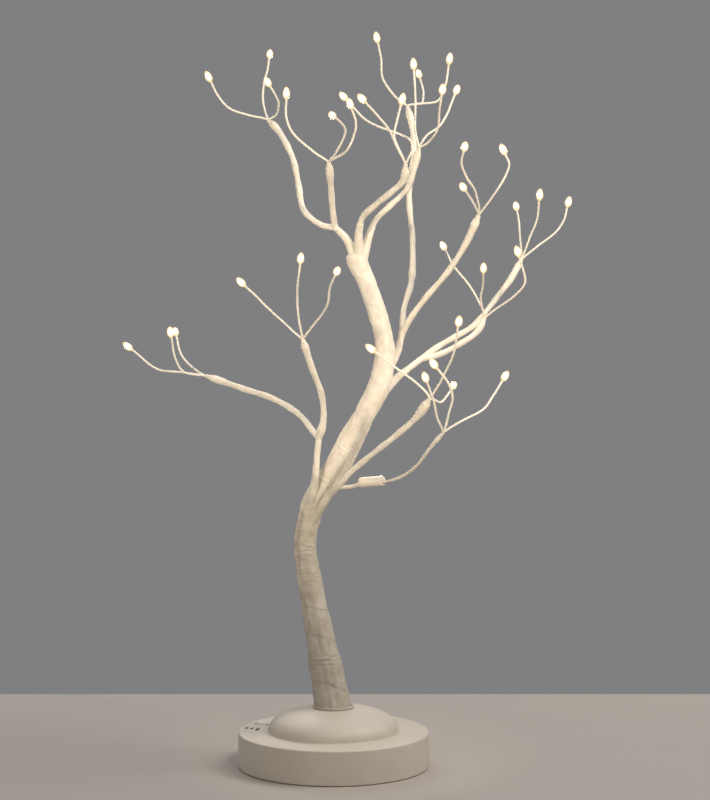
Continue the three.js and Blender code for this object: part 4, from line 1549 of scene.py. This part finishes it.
@dataclass
class DropLight:
    """The shapes of one light, which stand on the origin along Z: a resin drop, and the lit core in it."""

    radius: float = 2.3 * MM
    length: float = 8.4 * MM
    core_radius: float = 1.6 * MM
    core_reach: tuple[float, float] = (1.4 * MM, 7.2 * MM)
    sides: int = 20

    def build_drop(self) -> bpy.types.Object:
        """Makes the resin drop that is copied to every wire."""
        outline = ((0, 0), (0.36, 0), (0.42, 0.05), (0.62, 0.12), (0.85, 0.22), (0.97, 0.33), (1.0, 0.43))
        outline += ((0.97, 0.55), (0.87, 0.68), (0.70, 0.80), (0.48, 0.90), (0.26, 0.965), (0, 1.0))
        profile = [(across * self.radius, along * self.length) for across, along in outline]
        return placed("drop_light", turned("drop_light", profile, self.sides))

    def build_core(self) -> bpy.types.Object:
        """Makes the core, a small egg."""
        low, high = self.core_reach
        steps = 10
        profile = []
        for index in range(steps + 1):
            angle = math.pi * index / steps
            out = self.core_radius * math.sin(angle) if 0 < index < steps else 0.0
            profile.append((out, low + (high - low) * (1 - math.cos(angle)) / 2))
        return placed("drop_core", turned("drop_core", profile, self.sides))


@dataclass
class SpliceSleeve:
    """The stiff sleeve over the joint in the thin right stem, which hangs a little high on its wire."""

    route: Route
    start_share: float = 0.172
    length: float = 15.5 * MM
    radius: float = 3.2 * MM
    waist: float = 0.12 * MM
    bore: float = 1.45 * MM
    mouth: float = 1.0 * MM
    mouth_length: float = 0.7 * MM
    rise: float = 1.0 * MM
    round_end: float = 0.8 * MM
    sides: int = 40

    def outline(self) -> list[tuple[float, float]]:
        """The sleeve's section on one side of its wire: distance along it, and distance from the middle."""
        arc = [math.pi / 2 * i / 5 for i in range(6)]
        end = self.round_end
        corner = [(end * (1 - math.cos(a)), self.radius - end * (1 - math.sin(a))) for a in arc]
        middle = [(self.length * share / 8, self.radius - self.waist) for share in range(2, 7)]
        far = [(self.length - along, out) for along, out in reversed(corner)]
        inside = [(self.length, self.mouth), (self.length - self.mouth_length, self.mouth)]
        inside += [(self.length * share / 8, self.bore) for share in range(7, -1, -1)]
        return corner + middle + far + inside

    def build(self, material: bpy.types.Material) -> bpy.types.Object:
        """Makes the sleeve as a tube that follows the stem."""
        work = bmesh.new()
        rings = []
        for along, out in self.outline():
            distance = self.start_share * self.route.length + along
            centre, way = self.route.point(distance), self.route.direction(distance)
            side = way.cross(UP).normalized()
            top = side.cross(way)
            if out > self.bore:
                centre = centre + UP * self.rise
            angles = [2 * math.pi * i / self.sides for i in range(self.sides)]
            ring = [centre + side * (out * math.cos(a)) + top * (out * math.sin(a)) for a in angles]
            rings.append([work.verts.new(point) for point in ring])
        for lower, upper in zip(rings, rings[1:] + rings[:1]):
            for i in range(self.sides):
                after = (i + 1) % self.sides
                work.faces.new((lower[i], lower[after], upper[after], upper[i]))
        bmesh.ops.recalc_face_normals(work, faces=work.faces)
        mesh = bpy.data.meshes.new("splice_sleeve_tube")
        work.to_mesh(mesh)
        work.free()
        shade(mesh, 45.0)
        piece = dress(placed("splice_sleeve_tube", mesh), material)
        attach(piece, "right_lower")
        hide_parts("splice_sleeve")
        return piece


@dataclass
class Housing:
    """The ring and its dome, turned as one shell, with the slot for the switch."""

    plastic: bpy.types.Material
    knob_plastic: bpy.types.Material
    ink: bpy.types.Material
    ring_width: float = 19.0 * MM
    wall: float = 2.5 * MM
    edge: float = 1.0 * MM
    dome_rise: float = 15.0 * MM
    dome_power: float = 2.4
    fillet: float = 0.9 * MM
    seat_radius: float = 13.0 * MM
    socket_radius: float = 11.7 * MM
    socket_depth: float = 1.7 * MM
    bore_radius: float = 2.7 * MM
    skirt_lift: float = 0.4 * MM
    switch_angle: float = 156.0
    slot_size: tuple[float, float] = (10.6 * MM, 4.0 * MM)
    words: tuple[tuple[str, float, float], ...] = (
        ("OFF", -55.3 * MM, 8.6 * MM),
        ("ON", -51.9 * MM, 7.4 * MM),
        ("TIMER", -48.2 * MM, 4.6 * MM),
    )
    word_size: float = 3.0 * MM
    word_weight: float = 0.1 * MM
    word_turn: float = -98.0
    word_thickness: float = 0.03 * MM
    word_lift: float = 0.02 * MM
    knob_half: tuple[float, float] = (2.5 * MM, 1.7 * MM)
    rib_count: int = 4
    rib_pitch: float = 1.25 * MM
    rib_height: float = 0.45 * MM
    rib_half_width: float = 0.36 * MM
    rib_inset: float = 0.15 * MM
    sides: int = 192
    radius: float = field(init=False)
    top: float = field(init=False)
    height: float = field(init=False)

    def __post_init__(self) -> None:
        """Takes the outer sizes from the frame."""
        _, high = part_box("base_housing")
        self.radius = high.x
        self.top = high.z
        self.height = self.top - self.dome_rise

    def _dome(
        self, foot_radius: float, rise: float, low: float, high: float, steps: int
    ) -> list[tuple[float, float]]:
        """Points of the dome's line, with radius and height, between two angles of its own curve."""
        power = 2 / self.dome_power
        angles = [low + (high - low) * i / steps for i in range(steps + 1)]
        return [(foot_radius * math.cos(a) ** power, rise * math.sin(a) ** power) for a in angles]

    def _angle_at(self, share: float) -> float:
        """The dome curve's angle where its radius is that share of its foot's."""
        return math.acos(share ** (self.dome_power / 2))

    def outline(self) -> list[tuple[float, float]]:
        """The whole shell's outline, from the skirt up over the dome and back inside."""
        foot = self.radius - self.ring_width
        inner = self.radius - self.wall
        ceiling = self.height - self.wall
        under = self.top - self.socket_depth - self.wall
        chamfer = 0.4 * MM
        points = [(inner, self.skirt_lift), (self.radius - chamfer, self.skirt_lift)]
        points += [(self.radius, self.skirt_lift + chamfer)]
        corner = [math.pi / 2 * i / 8 for i in range(9)]
        edge, fillet = self.edge, self.fillet
        points += [
            (self.radius - edge * (1 - math.cos(a)), self.height - edge * (1 - math.sin(a))) for a in corner
        ]
        points += [
            (foot + fillet * (1 - math.sin(a)), self.height + fillet * (1 - math.cos(a))) for a in corner
        ]
        start = math.asin((self.fillet / self.dome_rise) ** (self.dome_power / 2)) * 1.4
        seat = self._angle_at(self.seat_radius / foot)
        dome = self._dome(foot, self.dome_rise, start, seat, 40)
        lift = self.dome_rise - dome[-1][1]
        points += [(out, self.height + rise + lift * eased(i / 40)) for i, (out, rise) in enumerate(dome)]
        bead = 0.25 * MM
        points += [(self.socket_radius + bead, self.top), (self.socket_radius, self.top - bead)]
        points += [(self.socket_radius, self.top - self.socket_depth)]
        points += [(self.bore_radius, self.top - self.socket_depth)]
        bore_angle = self._angle_at(self.bore_radius / foot)
        inside = self._dome(foot - self.wall, under - ceiling, 0.0, bore_angle, 16)
        points += [(max(out, self.bore_radius), ceiling + rise) for out, rise in reversed(inside)]
        points += [(inner, ceiling)]
        return points

    def build(self) -> bpy.types.Object:
        """Makes the shell and cuts the slot."""
        shell = turned("housing_shell", self.outline(), self.sides, closed=True)
        length, width = self.slot_size
        low = Vector((-length / 2, -width / 2, self.height - 2 * self.wall))
        cutter = box_mesh("slot", low, Vector((length / 2, width / 2, self.height + self.wall)), 0.5 * MM)
        cutter.transform(self._switch_place())
        piece = placed("housing_shell", cut("housing_shell", shell, cutter))
        dress(piece, self.plastic)
        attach(piece, Body.BASE.value)
        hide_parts("base_housing")
        return piece

    def _switch_place(self) -> Matrix:
        """Turns a mesh that is centred on the origin, with X along the slot, to the switch's place."""
        turn = Matrix.Rotation(math.radians(self.switch_angle), 4, "Z")
        return turn @ Matrix.Translation((self.radius - self.ring_width / 2, 0, 0))

    def build_knob(self) -> bpy.types.Object:
        """Makes the ribbed switch knob."""
        low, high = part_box("switch_knob")
        half_length, half_width = self.knob_half
        body = box_mesh(
            "knob_body",
            Vector((-half_length, -half_width, low.z)),
            Vector((half_length, half_width, high.z - self.rib_height)),
            0.25 * MM,
        )
        ribs = []
        for index in range(self.rib_count):
            x = (index - (self.rib_count - 1) / 2) * self.rib_pitch
            reach = half_width - self.rib_inset
            foot = Vector((x - self.rib_half_width, -reach, high.z - 3 * self.rib_height))
            head = Vector((x + self.rib_half_width, reach, high.z))
            ribs.append(box_mesh("knob_rib", foot, head, 0.18 * MM))
        mesh = joined("switch_knob_ribbed", [body, *ribs])
        mesh.transform(self._switch_place())
        piece = dress(placed("switch_knob_ribbed", mesh), self.knob_plastic)
        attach(piece, Body.SWITCH.value)
        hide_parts("switch_knob")
        return piece

    def build_words(self) -> bpy.types.Object:
        """Prints the switch's words on the ring, in a row beside the slot."""
        meshes = []
        for word, x, y in self.words:
            curve = bpy.data.curves.new(f"word_{word}", "FONT")
            curve.body = word
            curve.size = self.word_size
            curve.extrude = self.word_thickness
            curve.offset = self.word_weight
            curve.align_x = "CENTER"
            curve.align_y = "CENTER"
            holder = placed(f"word_{word}", curve)
            graph = bpy.context.evaluated_depsgraph_get()
            mesh = bpy.data.meshes.new_from_object(holder.evaluated_get(graph), depsgraph=graph)
            bpy.data.objects.remove(holder)
            turn = Matrix.Rotation(math.radians(self.word_turn), 4, "Z")
            mesh.transform(Matrix.Translation((x, y, self.height + self.word_lift)) @ turn)
            turn_outwards(mesh, weld=0.001 * MM)
            meshes.append(mesh)
        piece = dress(placed("switch_words", joined("switch_words", meshes)), self.ink)
        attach(piece, Body.BASE.value)
        return piece


@dataclass
class Underside:
    """What the underside shows: screws, door ribs, battery cells and their contacts."""

    set_out: ShapeTree
    coils: ShapeTree
    plastic: bpy.types.Material
    steel: bpy.types.Material
    film: bpy.types.Material
    screw_circle: float = 49.94 * MM
    screw_angles: tuple[float, ...] = (30, -30, -100, -170)
    screw_head: float = 2.6 * MM
    screw_slot: tuple[float, float] = (1.5 * MM, 0.35 * MM)
    cell_radius: float = 7.25 * MM
    cell_length: float = 50.5 * MM
    rib_count: int = 5
    rib_half: Offset = (8 * MM, 0.5 * MM, 0.3 * MM)
    rib_rise: float = 0.22 * MM
    rib_pitch: float = 1.9 * MM
    rib_start: float = 7 * MM
    plate_thickness: float = 0.5 * MM
    button_gap: float = 0.3 * MM
    coil_turns: float = 3.2
    coil_radii: tuple[float, float] = (4.2 * MM, 2.2 * MM)
    coil_height: float = 2.1 * MM
    coil_wire: float = 0.3 * MM

    def build_screws(self) -> bpy.types.Object:
        """Sets a cross-head screw in each recess of the floor."""
        radius = self.screw_head
        profile = [(0, 0.35), (0.62 * radius / MM, 0.38), (0.9 * radius / MM, 0.55), (radius / MM, 0.8)]
        profile += [(radius / MM, 1.0), (1.1, 1.3), (1.1, 6.0), (0, 7.0)]
        head = turned("screw", [(out * MM, up * MM) for out, up in profile], 32)
        arms = []
        for length, width in (self.screw_slot, self.screw_slot[::-1]):
            low, high = Vector((-length, -width, -1 * MM)), Vector((length, width, 0.9 * MM))
            arms.append(box_mesh("arm", low, high, 0.1 * MM))
        screw = placed("screw", cut("screw", cut("screw_half", head, arms[0]), arms[1]))
        points = []
        for degrees in self.screw_angles:
            angle = math.radians(degrees)
            points.append(Vector((math.cos(angle), math.sin(angle), 0)) * self.screw_circle)
        seed = points_mesh("screw_points", points, [UP] * len(points))
        piece = self.set_out.grow(
            "floor_screws", seed, {"Piece": screw, "Spread Of Size": 0.0, "Seed": 1, "Material": self.steel}
        )
        bpy.data.objects.remove(screw)
        shade(piece.data, 40.0)
        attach(piece, Body.BASE.value)
        return piece

    def build_door_ribs(self) -> bpy.types.Object:
        """Sets a row of grip ribs on the door, ahead of its nail notch."""
        low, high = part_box("battery_door")
        half_length, half_width, depth = self.rib_half
        foot = Vector((-half_length, -half_width, -self.rib_rise))
        bar = placed("rib", box_mesh("rib", foot, Vector((half_length, half_width, depth)), 0.2 * MM))
        first = high.y - self.rib_start
        points = [Vector((0, first - self.rib_pitch * index, low.z)) for index in range(self.rib_count)]
        seed = points_mesh("rib_points", points, [UP] * len(points))
        piece = self.set_out.grow(
            "door_ribs", seed, {"Piece": bar, "Spread Of Size": 0.0, "Seed": 1, "Material": self.plastic}
        )
        bpy.data.objects.remove(bar)
        shade(piece.data, 40.0)
        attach(piece, Body.DOOR.value)
        return piece

    def build_cell(self, index: int) -> bpy.types.Object:
        """Makes one battery cell round its solid: film, rolled ends, and a plus nub."""
        node = f"battery_{index}"
        low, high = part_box(node)
        centre = (low + high) / 2
        plus = 1 if index % 2 else -1
        radius, half = self.cell_radius, self.cell_length / 2
        ends = [(0, -half), (radius - 1.6 * MM, -half), (radius - 1.3 * MM, -half + 0.35 * MM)]
        ends += [(radius - 0.9 * MM, -half + 0.3 * MM), (radius - 0.5 * MM, -half)]
        ends += [(radius, -half + 0.45 * MM)]
        shoulder = half - 1.0 * MM
        ends += [(radius, shoulder - 0.6 * MM), (radius - 0.5 * MM, shoulder), (radius - 1.4 * MM, shoulder)]
        ends += [(radius - 1.7 * MM, shoulder - 0.25 * MM), (2.9 * MM, shoulder - 0.25 * MM)]
        ends += [(2.7 * MM, shoulder), (2.65 * MM, half - 0.25 * MM), (2.3 * MM, half), (0, half)]
        mesh = turned(f"cell_{index}", ends, 56)
        mesh.materials.append(self.film)
        mesh.materials.append(self.steel)
        for face in mesh.polygons:
            bare = math.hypot(face.center.x, face.center.y) < radius - 0.9 * MM
            face.material_index = int(bare)
        mesh.transform(Matrix.Translation(centre) @ Matrix.Rotation(plus * math.pi / 2, 4, "Y"))
        piece = placed(f"cell_{index}", mesh)
        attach(piece, Body.BASE.value)
        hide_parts(node)
        return piece

    def build_contact(self, node: str, side: int, cells: Sequence[int]) -> None:
        """Makes one contact: a plate with a pressed button at each plus end and a coil at each minus end.

        Args:
            node: The solid that the pieces stand for.
            side: 1 for the contact at the +X end of the bay, and -1 for the other.
            cells: The cells that it touches, counted from 1.
        """
        low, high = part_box(node)
        wall = high.x if side > 0 else low.x
        thickness = self.plate_thickness
        face = wall - side * thickness
        inner = min(wall, face)
        plate = box_mesh(
            node, Vector((inner, low.y, low.z)), Vector((inner + thickness, high.y, high.z)), 0.12 * MM
        )
        parts = [plate]
        springs = []
        for cell in cells:
            cell_low, cell_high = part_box(f"battery_{cell}")
            middle = (cell_low + cell_high) / 2
            at = Vector((face, middle.y, middle.z))
            plus_end = (1 if cell % 2 else -1) == side
            if plus_end:
                reach = abs(face - (cell_high.x if side > 0 else cell_low.x)) - self.button_gap
                profile = [(0, -0.2 * MM), (2.2 * MM, -0.2 * MM), (2.1 * MM, reach * 0.6), (1.5 * MM, reach)]
                button = turned("button", [*profile, (0, reach)], 28)
                button.transform(Matrix.Translation(at) @ Matrix.Rotation(-side * math.pi / 2, 4, "Y"))
                parts.append(button)
            else:
                springs.append(at)
        piece = dress(placed(f"{node}_plate", joined(f"{node}_plate", parts)), self.steel)
        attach(piece, Body.BASE.value)
        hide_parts(node)
        if springs:
            aim = Vector((-side, 0, 0))
            coil = self.coils.grow(
                f"{node}_coils",
                points_mesh(f"{node}_points", springs, [aim] * len(springs)),
                {
                    "Turns": self.coil_turns,
                    "Foot Radius": self.coil_radii[0],
                    "Top Radius": self.coil_radii[1],
                    "Height": self.coil_height,
                    "Wire Radius": self.coil_wire,
                    "Material": self.steel,
                },
            )
            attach(coil, Body.BASE.value)


@dataclass
class Electronics:
    """The board's own parts and the short leads, which stand inside the closed base."""

    winding: ShapeTree
    dark: bpy.types.Material
    lead_insulation: bpy.types.Material
    lead_radius: float = 0.55 * MM
    seat: float = 0.05 * MM

    def build_board_parts(self) -> bpy.types.Object:
        """Sets a timer chip, a capacitor can and six chip resistors on the board."""
        low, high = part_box("circuit_board")
        top = high.z
        middle = (low + high) / 2
        chips = [((-6, 1), (2.5, 2.0), 1.5), ((5, -5), (1.6, 0.8), 0.6), ((5, -2), (1.6, 0.8), 0.6)]
        chips += [((5, 1), (1.6, 0.8), 0.6), ((5, 4), (1.6, 0.8), 0.6), ((11, -4), (1.5, 1.4), 1.1)]
        meshes = []
        for (x, y), (half_x, half_y), tall in chips:
            at = Vector((middle.x + x * MM, middle.y + y * MM, top - self.seat))
            reach = Vector((half_x, half_y, 0)) * MM
            meshes.append(box_mesh("chip", at - reach, at + reach + Vector((0, 0, tall * MM)), 0.15 * MM))
        outline = ((0, 0), (2.5, 0), (2.5, 5.2), (2.1, 5.6), (0, 5.6))
        can = turned("can", [(out * MM, up * MM) for out, up in outline], 28)
        can.transform(Matrix.Translation((middle.x + 12 * MM, middle.y + 4 * MM, top - self.seat)))
        piece = dress(placed("board_parts", joined("board_parts", [*meshes, can])), self.dark)
        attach(piece, Body.BASE.value)
        return piece

    def build_leads(self) -> bpy.types.Object:
        """Lays the short fixed leads from the board to the switch and up to the dome's bore."""
        _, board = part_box("circuit_board")
        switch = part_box("slide_switch")[0]
        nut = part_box("trunk_nut")[0]
        lines = []
        for shift in (-1.2, 0.0, 1.2):
            start = Vector((-16 * MM + shift * MM, board.y - 3 * MM, board.z))
            end = Vector((switch.x + 7 * MM, switch.y + (5 + shift) * MM, switch.z + 0.4 * MM))
            lines.append([start, start + Vector((-4, 3, 2.5)) * MM, end + Vector((4, -6, -0.6)) * MM, end])
        for shift in (-0.9, 0.9):
            start = Vector((3 * MM + shift * MM, board.y - 4 * MM, board.z))
            end = Vector((shift * 3.6 * MM, -6.6 * MM, nut.z + 1 * MM))
            lines.append([start, start + Vector((0, 1, 4)) * MM, end + Vector((0, -3, -3)) * MM, end])
        strands = [
            strand_along(Route(line), lambda _: self.lead_radius, lambda distance: distance / MM)
            for line in lines
        ]
        piece = self.winding.grow(
            "inner_leads",
            strands_mesh("inner_lead_lines", strands),
            LEAD_WRAP.inputs(1, self.lead_insulation),
        )
        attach(piece, Body.BASE.value)
        return piece


@dataclass(frozen=True)
class SoftLamp:
    """A soft lamp at a place, turned to another: a square one, or a spot where its spread is narrower."""

    name: str
    place: Offset
    aim: Offset
    watts: float
    size: float
    colour: Colour
    spread: float = 180.0
    blend: float = 0.75

    def build(self) -> None:
        """Hangs the lamp."""
        is_spot = self.spread < 180
        lamp = bpy.data.lights.new(self.name, "SPOT" if is_spot else "AREA")
        lamp.energy = self.watts
        lamp.color = self.colour
        if is_spot:
            lamp.shadow_soft_size = self.size / 2
            lamp.spot_size = math.radians(self.spread)
            lamp.spot_blend = self.blend
        else:
            lamp.size = self.size
        holder = bpy.data.objects.new(self.name, lamp)
        holder.location = self.place
        way = Vector(self.aim) - Vector(self.place)
        holder.rotation_euler = way.to_track_quat("-Z", "Y").to_euler()
        bpy.context.scene.collection.objects.link(holder)


DAYLIGHT: Colour = (1.0, 0.98, 0.95)
SKYLIGHT: Colour = (0.97, 0.98, 1.0)
GLOW: Colour = (1.0, 0.86, 0.66)
MIDDLE: Offset = (0.0, 0.0, 0.2)
CROWN: Offset = (0.015, 0.0, 0.335)
RING: Offset = (0.01, -0.01, 0.035)

# The warm lamps stand for the glow of the tree's own lights
LAMPS: tuple[SoftLamp, ...] = (
    SoftLamp("key", (0.95, -0.12, 1.45), MIDDLE, 15.3, 0.9, DAYLIGHT),
    SoftLamp("fill", (-1.1, -1.2, 0.9), MIDDLE, 2.1, 1.1, SKYLIGHT),
    SoftLamp("back", (-0.4, 1.1, 1.3), MIDDLE, 7.0, 1.0, DAYLIGHT),
    SoftLamp("glow left", (-0.45, -0.7, 0.42), CROWN, 16.6, 0.07, GLOW, 35.0),
    SoftLamp("glow right", (0.5, -0.65, 0.42), CROWN, 16.0, 0.07, GLOW, 35.0),
    SoftLamp("glow back", (0.0, 0.8, 0.42), CROWN, 12.0, 0.07, GLOW, 35.0),
    SoftLamp("glow below", (0.05, -0.26, 0.3), RING, 0.9, 0.04, GLOW, 36.0),
)


@dataclass
class Studio:
    """The camera, the pale floor, the light of the surroundings with a plain backdrop, and the lamps."""

    floor_colour: Colour = (0.44, 0.4, 0.36)
    backdrop_colour: Colour = (0.215, 0.215, 0.22)
    sky_strength: float = 0.30
    floor_back: float = 0.235
    floor_reach: float = 4.0
    camera_place: Vector = field(default_factory=lambda: Vector((0.0135, -1.5, 0.335)))
    camera_pitch: float = 86.024
    focal_pixels: float = 2412.0
    picture_height: float = 800.0
    sensor: float = 36.0

    def build_floor(self) -> None:
        """Lays the floor, whose back edge is where the photograph's table ends."""
        reach, back = self.floor_reach, self.floor_back
        mesh = bpy.data.meshes.new("floor")
        corners = [(-reach, -reach, 0), (reach, -reach, 0), (reach, back, 0), (-reach, back, 0)]
        mesh.from_pydata(corners, [], [(0, 1, 2, 3)])
        surface = Surface("pale floor", {"Roughness": 0.8, "Specular IOR Level": 0.2})
        tone = surface.smooth_step(surface.noise(surface.place, 6.0), -1.0, 1.0)
        shaded = tuple(channel * 0.97 for channel in self.floor_colour)
        surface.feed("Base Color", surface.mixed(tone, shaded, self.floor_colour))
        mesh.materials.append(surface.material)
        placed("floor", mesh)

    def build_world(self) -> None:
        """Fills the surroundings with soft light, and shows the camera a plain backdrop."""
        world = bpy.data.worlds.new("studio")
        world.use_nodes = True
        bpy.context.scene.world = world
        graph = Graph(world.node_tree)
        world.node_tree.nodes.clear()
        rays = graph.node("ShaderNodeLightPath")
        seen = Term(graph, rays.outputs["Is Camera Ray"]) + Term(graph, rays.outputs["Is Glossy Ray"])
        seen = (seen + Term(graph, rays.outputs["Is Transmission Ray"])).least(1.0)
        sky = {"Color": (*SKYLIGHT, 1.0), "Strength": self.sky_strength}
        backdrop = {"Color": (*self.backdrop_colour, 1.0), "Strength": 1.0}
        light = graph.term("ShaderNodeBackground", None, sky)
        shown = graph.term("ShaderNodeBackground", None, backdrop)
        mix = graph.term("ShaderNodeMixShader", None, {0: seen, 1: light, 2: shown})
        graph.node("ShaderNodeOutputWorld", None, {"Surface": mix})

    def build_camera(self) -> None:
        """Stands the camera where the photograph's stood."""
        camera = bpy.data.cameras.new("camera")
        camera.sensor_width = self.sensor
        camera.lens = self.focal_pixels / self.picture_height * self.sensor
        camera.clip_start = 0.05
        holder = bpy.data.objects.new("camera", camera)
        holder.location = self.camera_place
        holder.rotation_euler = (math.radians(self.camera_pitch), 0, 0)
        bpy.context.scene.collection.objects.link(holder)
        bpy.context.scene.camera = holder

    def build(self) -> None:
        """Sets up everything round the tree."""
        self.build_camera()
        self.build_floor()
        self.build_world()
        for lamp in LAMPS:
            lamp.build()
        bpy.context.scene.view_settings.view_transform = "Standard"


def report(*pieces: bpy.types.Object) -> None:
    """Logs each piece that has been made."""
    for piece in pieces:
        log.info("%s: %d faces", piece.name, len(piece.data.polygons))


def main() -> None:
    """Builds the tree's pieces in order, then the room round them."""
    logging.basicConfig(level=logging.INFO)
    studio = Studio()
    studio.build()

    winding, set_out, coils = wound_tree(), set_out_tree(), coil_tree()
    trunk_paper = CrinkledPaper("trunk paper", deep=(0.68, 0.61, 0.51), crease_shade_share=0.6).material()
    limb_paper = CrinkledPaper("limb paper", crease_shade_share=0.25, relief=0.006 * MM).material()
    wire = CrinkledPaper(
        "light wire", pale=(0.84, 0.785, 0.69), deep=(0.78, 0.72, 0.62), crease_shade_share=0.0, relief=0.001 * MM
    ).material()
    ivory = MouldedPlastic("ivory plastic").material()
    sleeve = MouldedPlastic("sleeve", (0.74, 0.68, 0.575), (0.66, 0.59, 0.48), roughness=0.38).material()
    resin, core = LitResin("lit resin").material(), LitCore("lit core").material()
    plated = DrawnMetal("plated steel", (0.78, 0.77, 0.74), (0.55, 0.53, 0.49), 0.28).material()
    annealed = DrawnMetal("annealed steel", (0.34, 0.33, 0.31), (0.2, 0.19, 0.17), 0.5).material()
    knob = MouldedPlastic("switch knob", (0.88, 0.85, 0.79), (0.82, 0.78, 0.7), roughness=0.4).material()
    ink = PrintInk("ink").material()

    housing = Housing(ivory, knob, ink)
    report(housing.build(), housing.build_knob(), housing.build_words())

    trunk = Trunk(winding, trunk_paper, Vector((0, 0, housing.top)))
    report(trunk.build(), trunk.build_foot_ring())

    pivots = {joint["child"]: Vector(joint["pos_m"]) for joint in frame["joints"] if "pos_m" in joint}
    drop, chip = DropLight().build_drop(), DropLight().build_core()
    for limb in LIMBS:
        wrapped = WrappedLimb(limb, pivots[limb.name], winding, set_out, limb_paper, wire, resin, core)
        report(wrapped.build_stems(), wrapped.build_wires(), *wrapped.build_lights(drop, chip))
        report(trunk.build_root(limb, pivots[limb.name], wrapped.lead))
        if limb.stems[-1].spliced:
            fork = wrapped.stems[0].points[-1]
            before = fork - wrapped.lead.direction(wrapped.lead.length) * wrapped.wire_inset
            stem = Route([before, fork, *spread(fork, limb.stems[-1].route)])
            report(SpliceSleeve(stem).build(sleeve))
    bpy.data.objects.remove(drop)
    bpy.data.objects.remove(chip)

    underside = Underside(set_out, coils, ivory, plated, PrintedFilm("cell film").material())
    report(underside.build_screws(), underside.build_door_ribs())
    report(*(underside.build_cell(index) for index in (1, 2, 3)))
    underside.build_contact("contact_plate", 1, (1,))
    underside.build_contact("contact_double_1", -1, (1, 2))
    underside.build_contact("contact_double_2", 1, (2, 3))
    underside.build_contact("contact_spring", -1, (3,))

    electronics = Electronics(winding, ink, sleeve)
    report(electronics.build_board_parts(), electronics.build_leads())

    nodes = frame["nodes"]
    dress(nodes["base_floor"], ivory)
    dress(nodes["battery_door"], ivory)
    dress(nodes["armature"], annealed)
    dress(nodes["trunk_nut"], plated)
    dress(nodes["slide_switch"], plated)
    dress(nodes["circuit_board"], MaskedBoard("board mask").material())


if __name__ == "__main__":
    main()
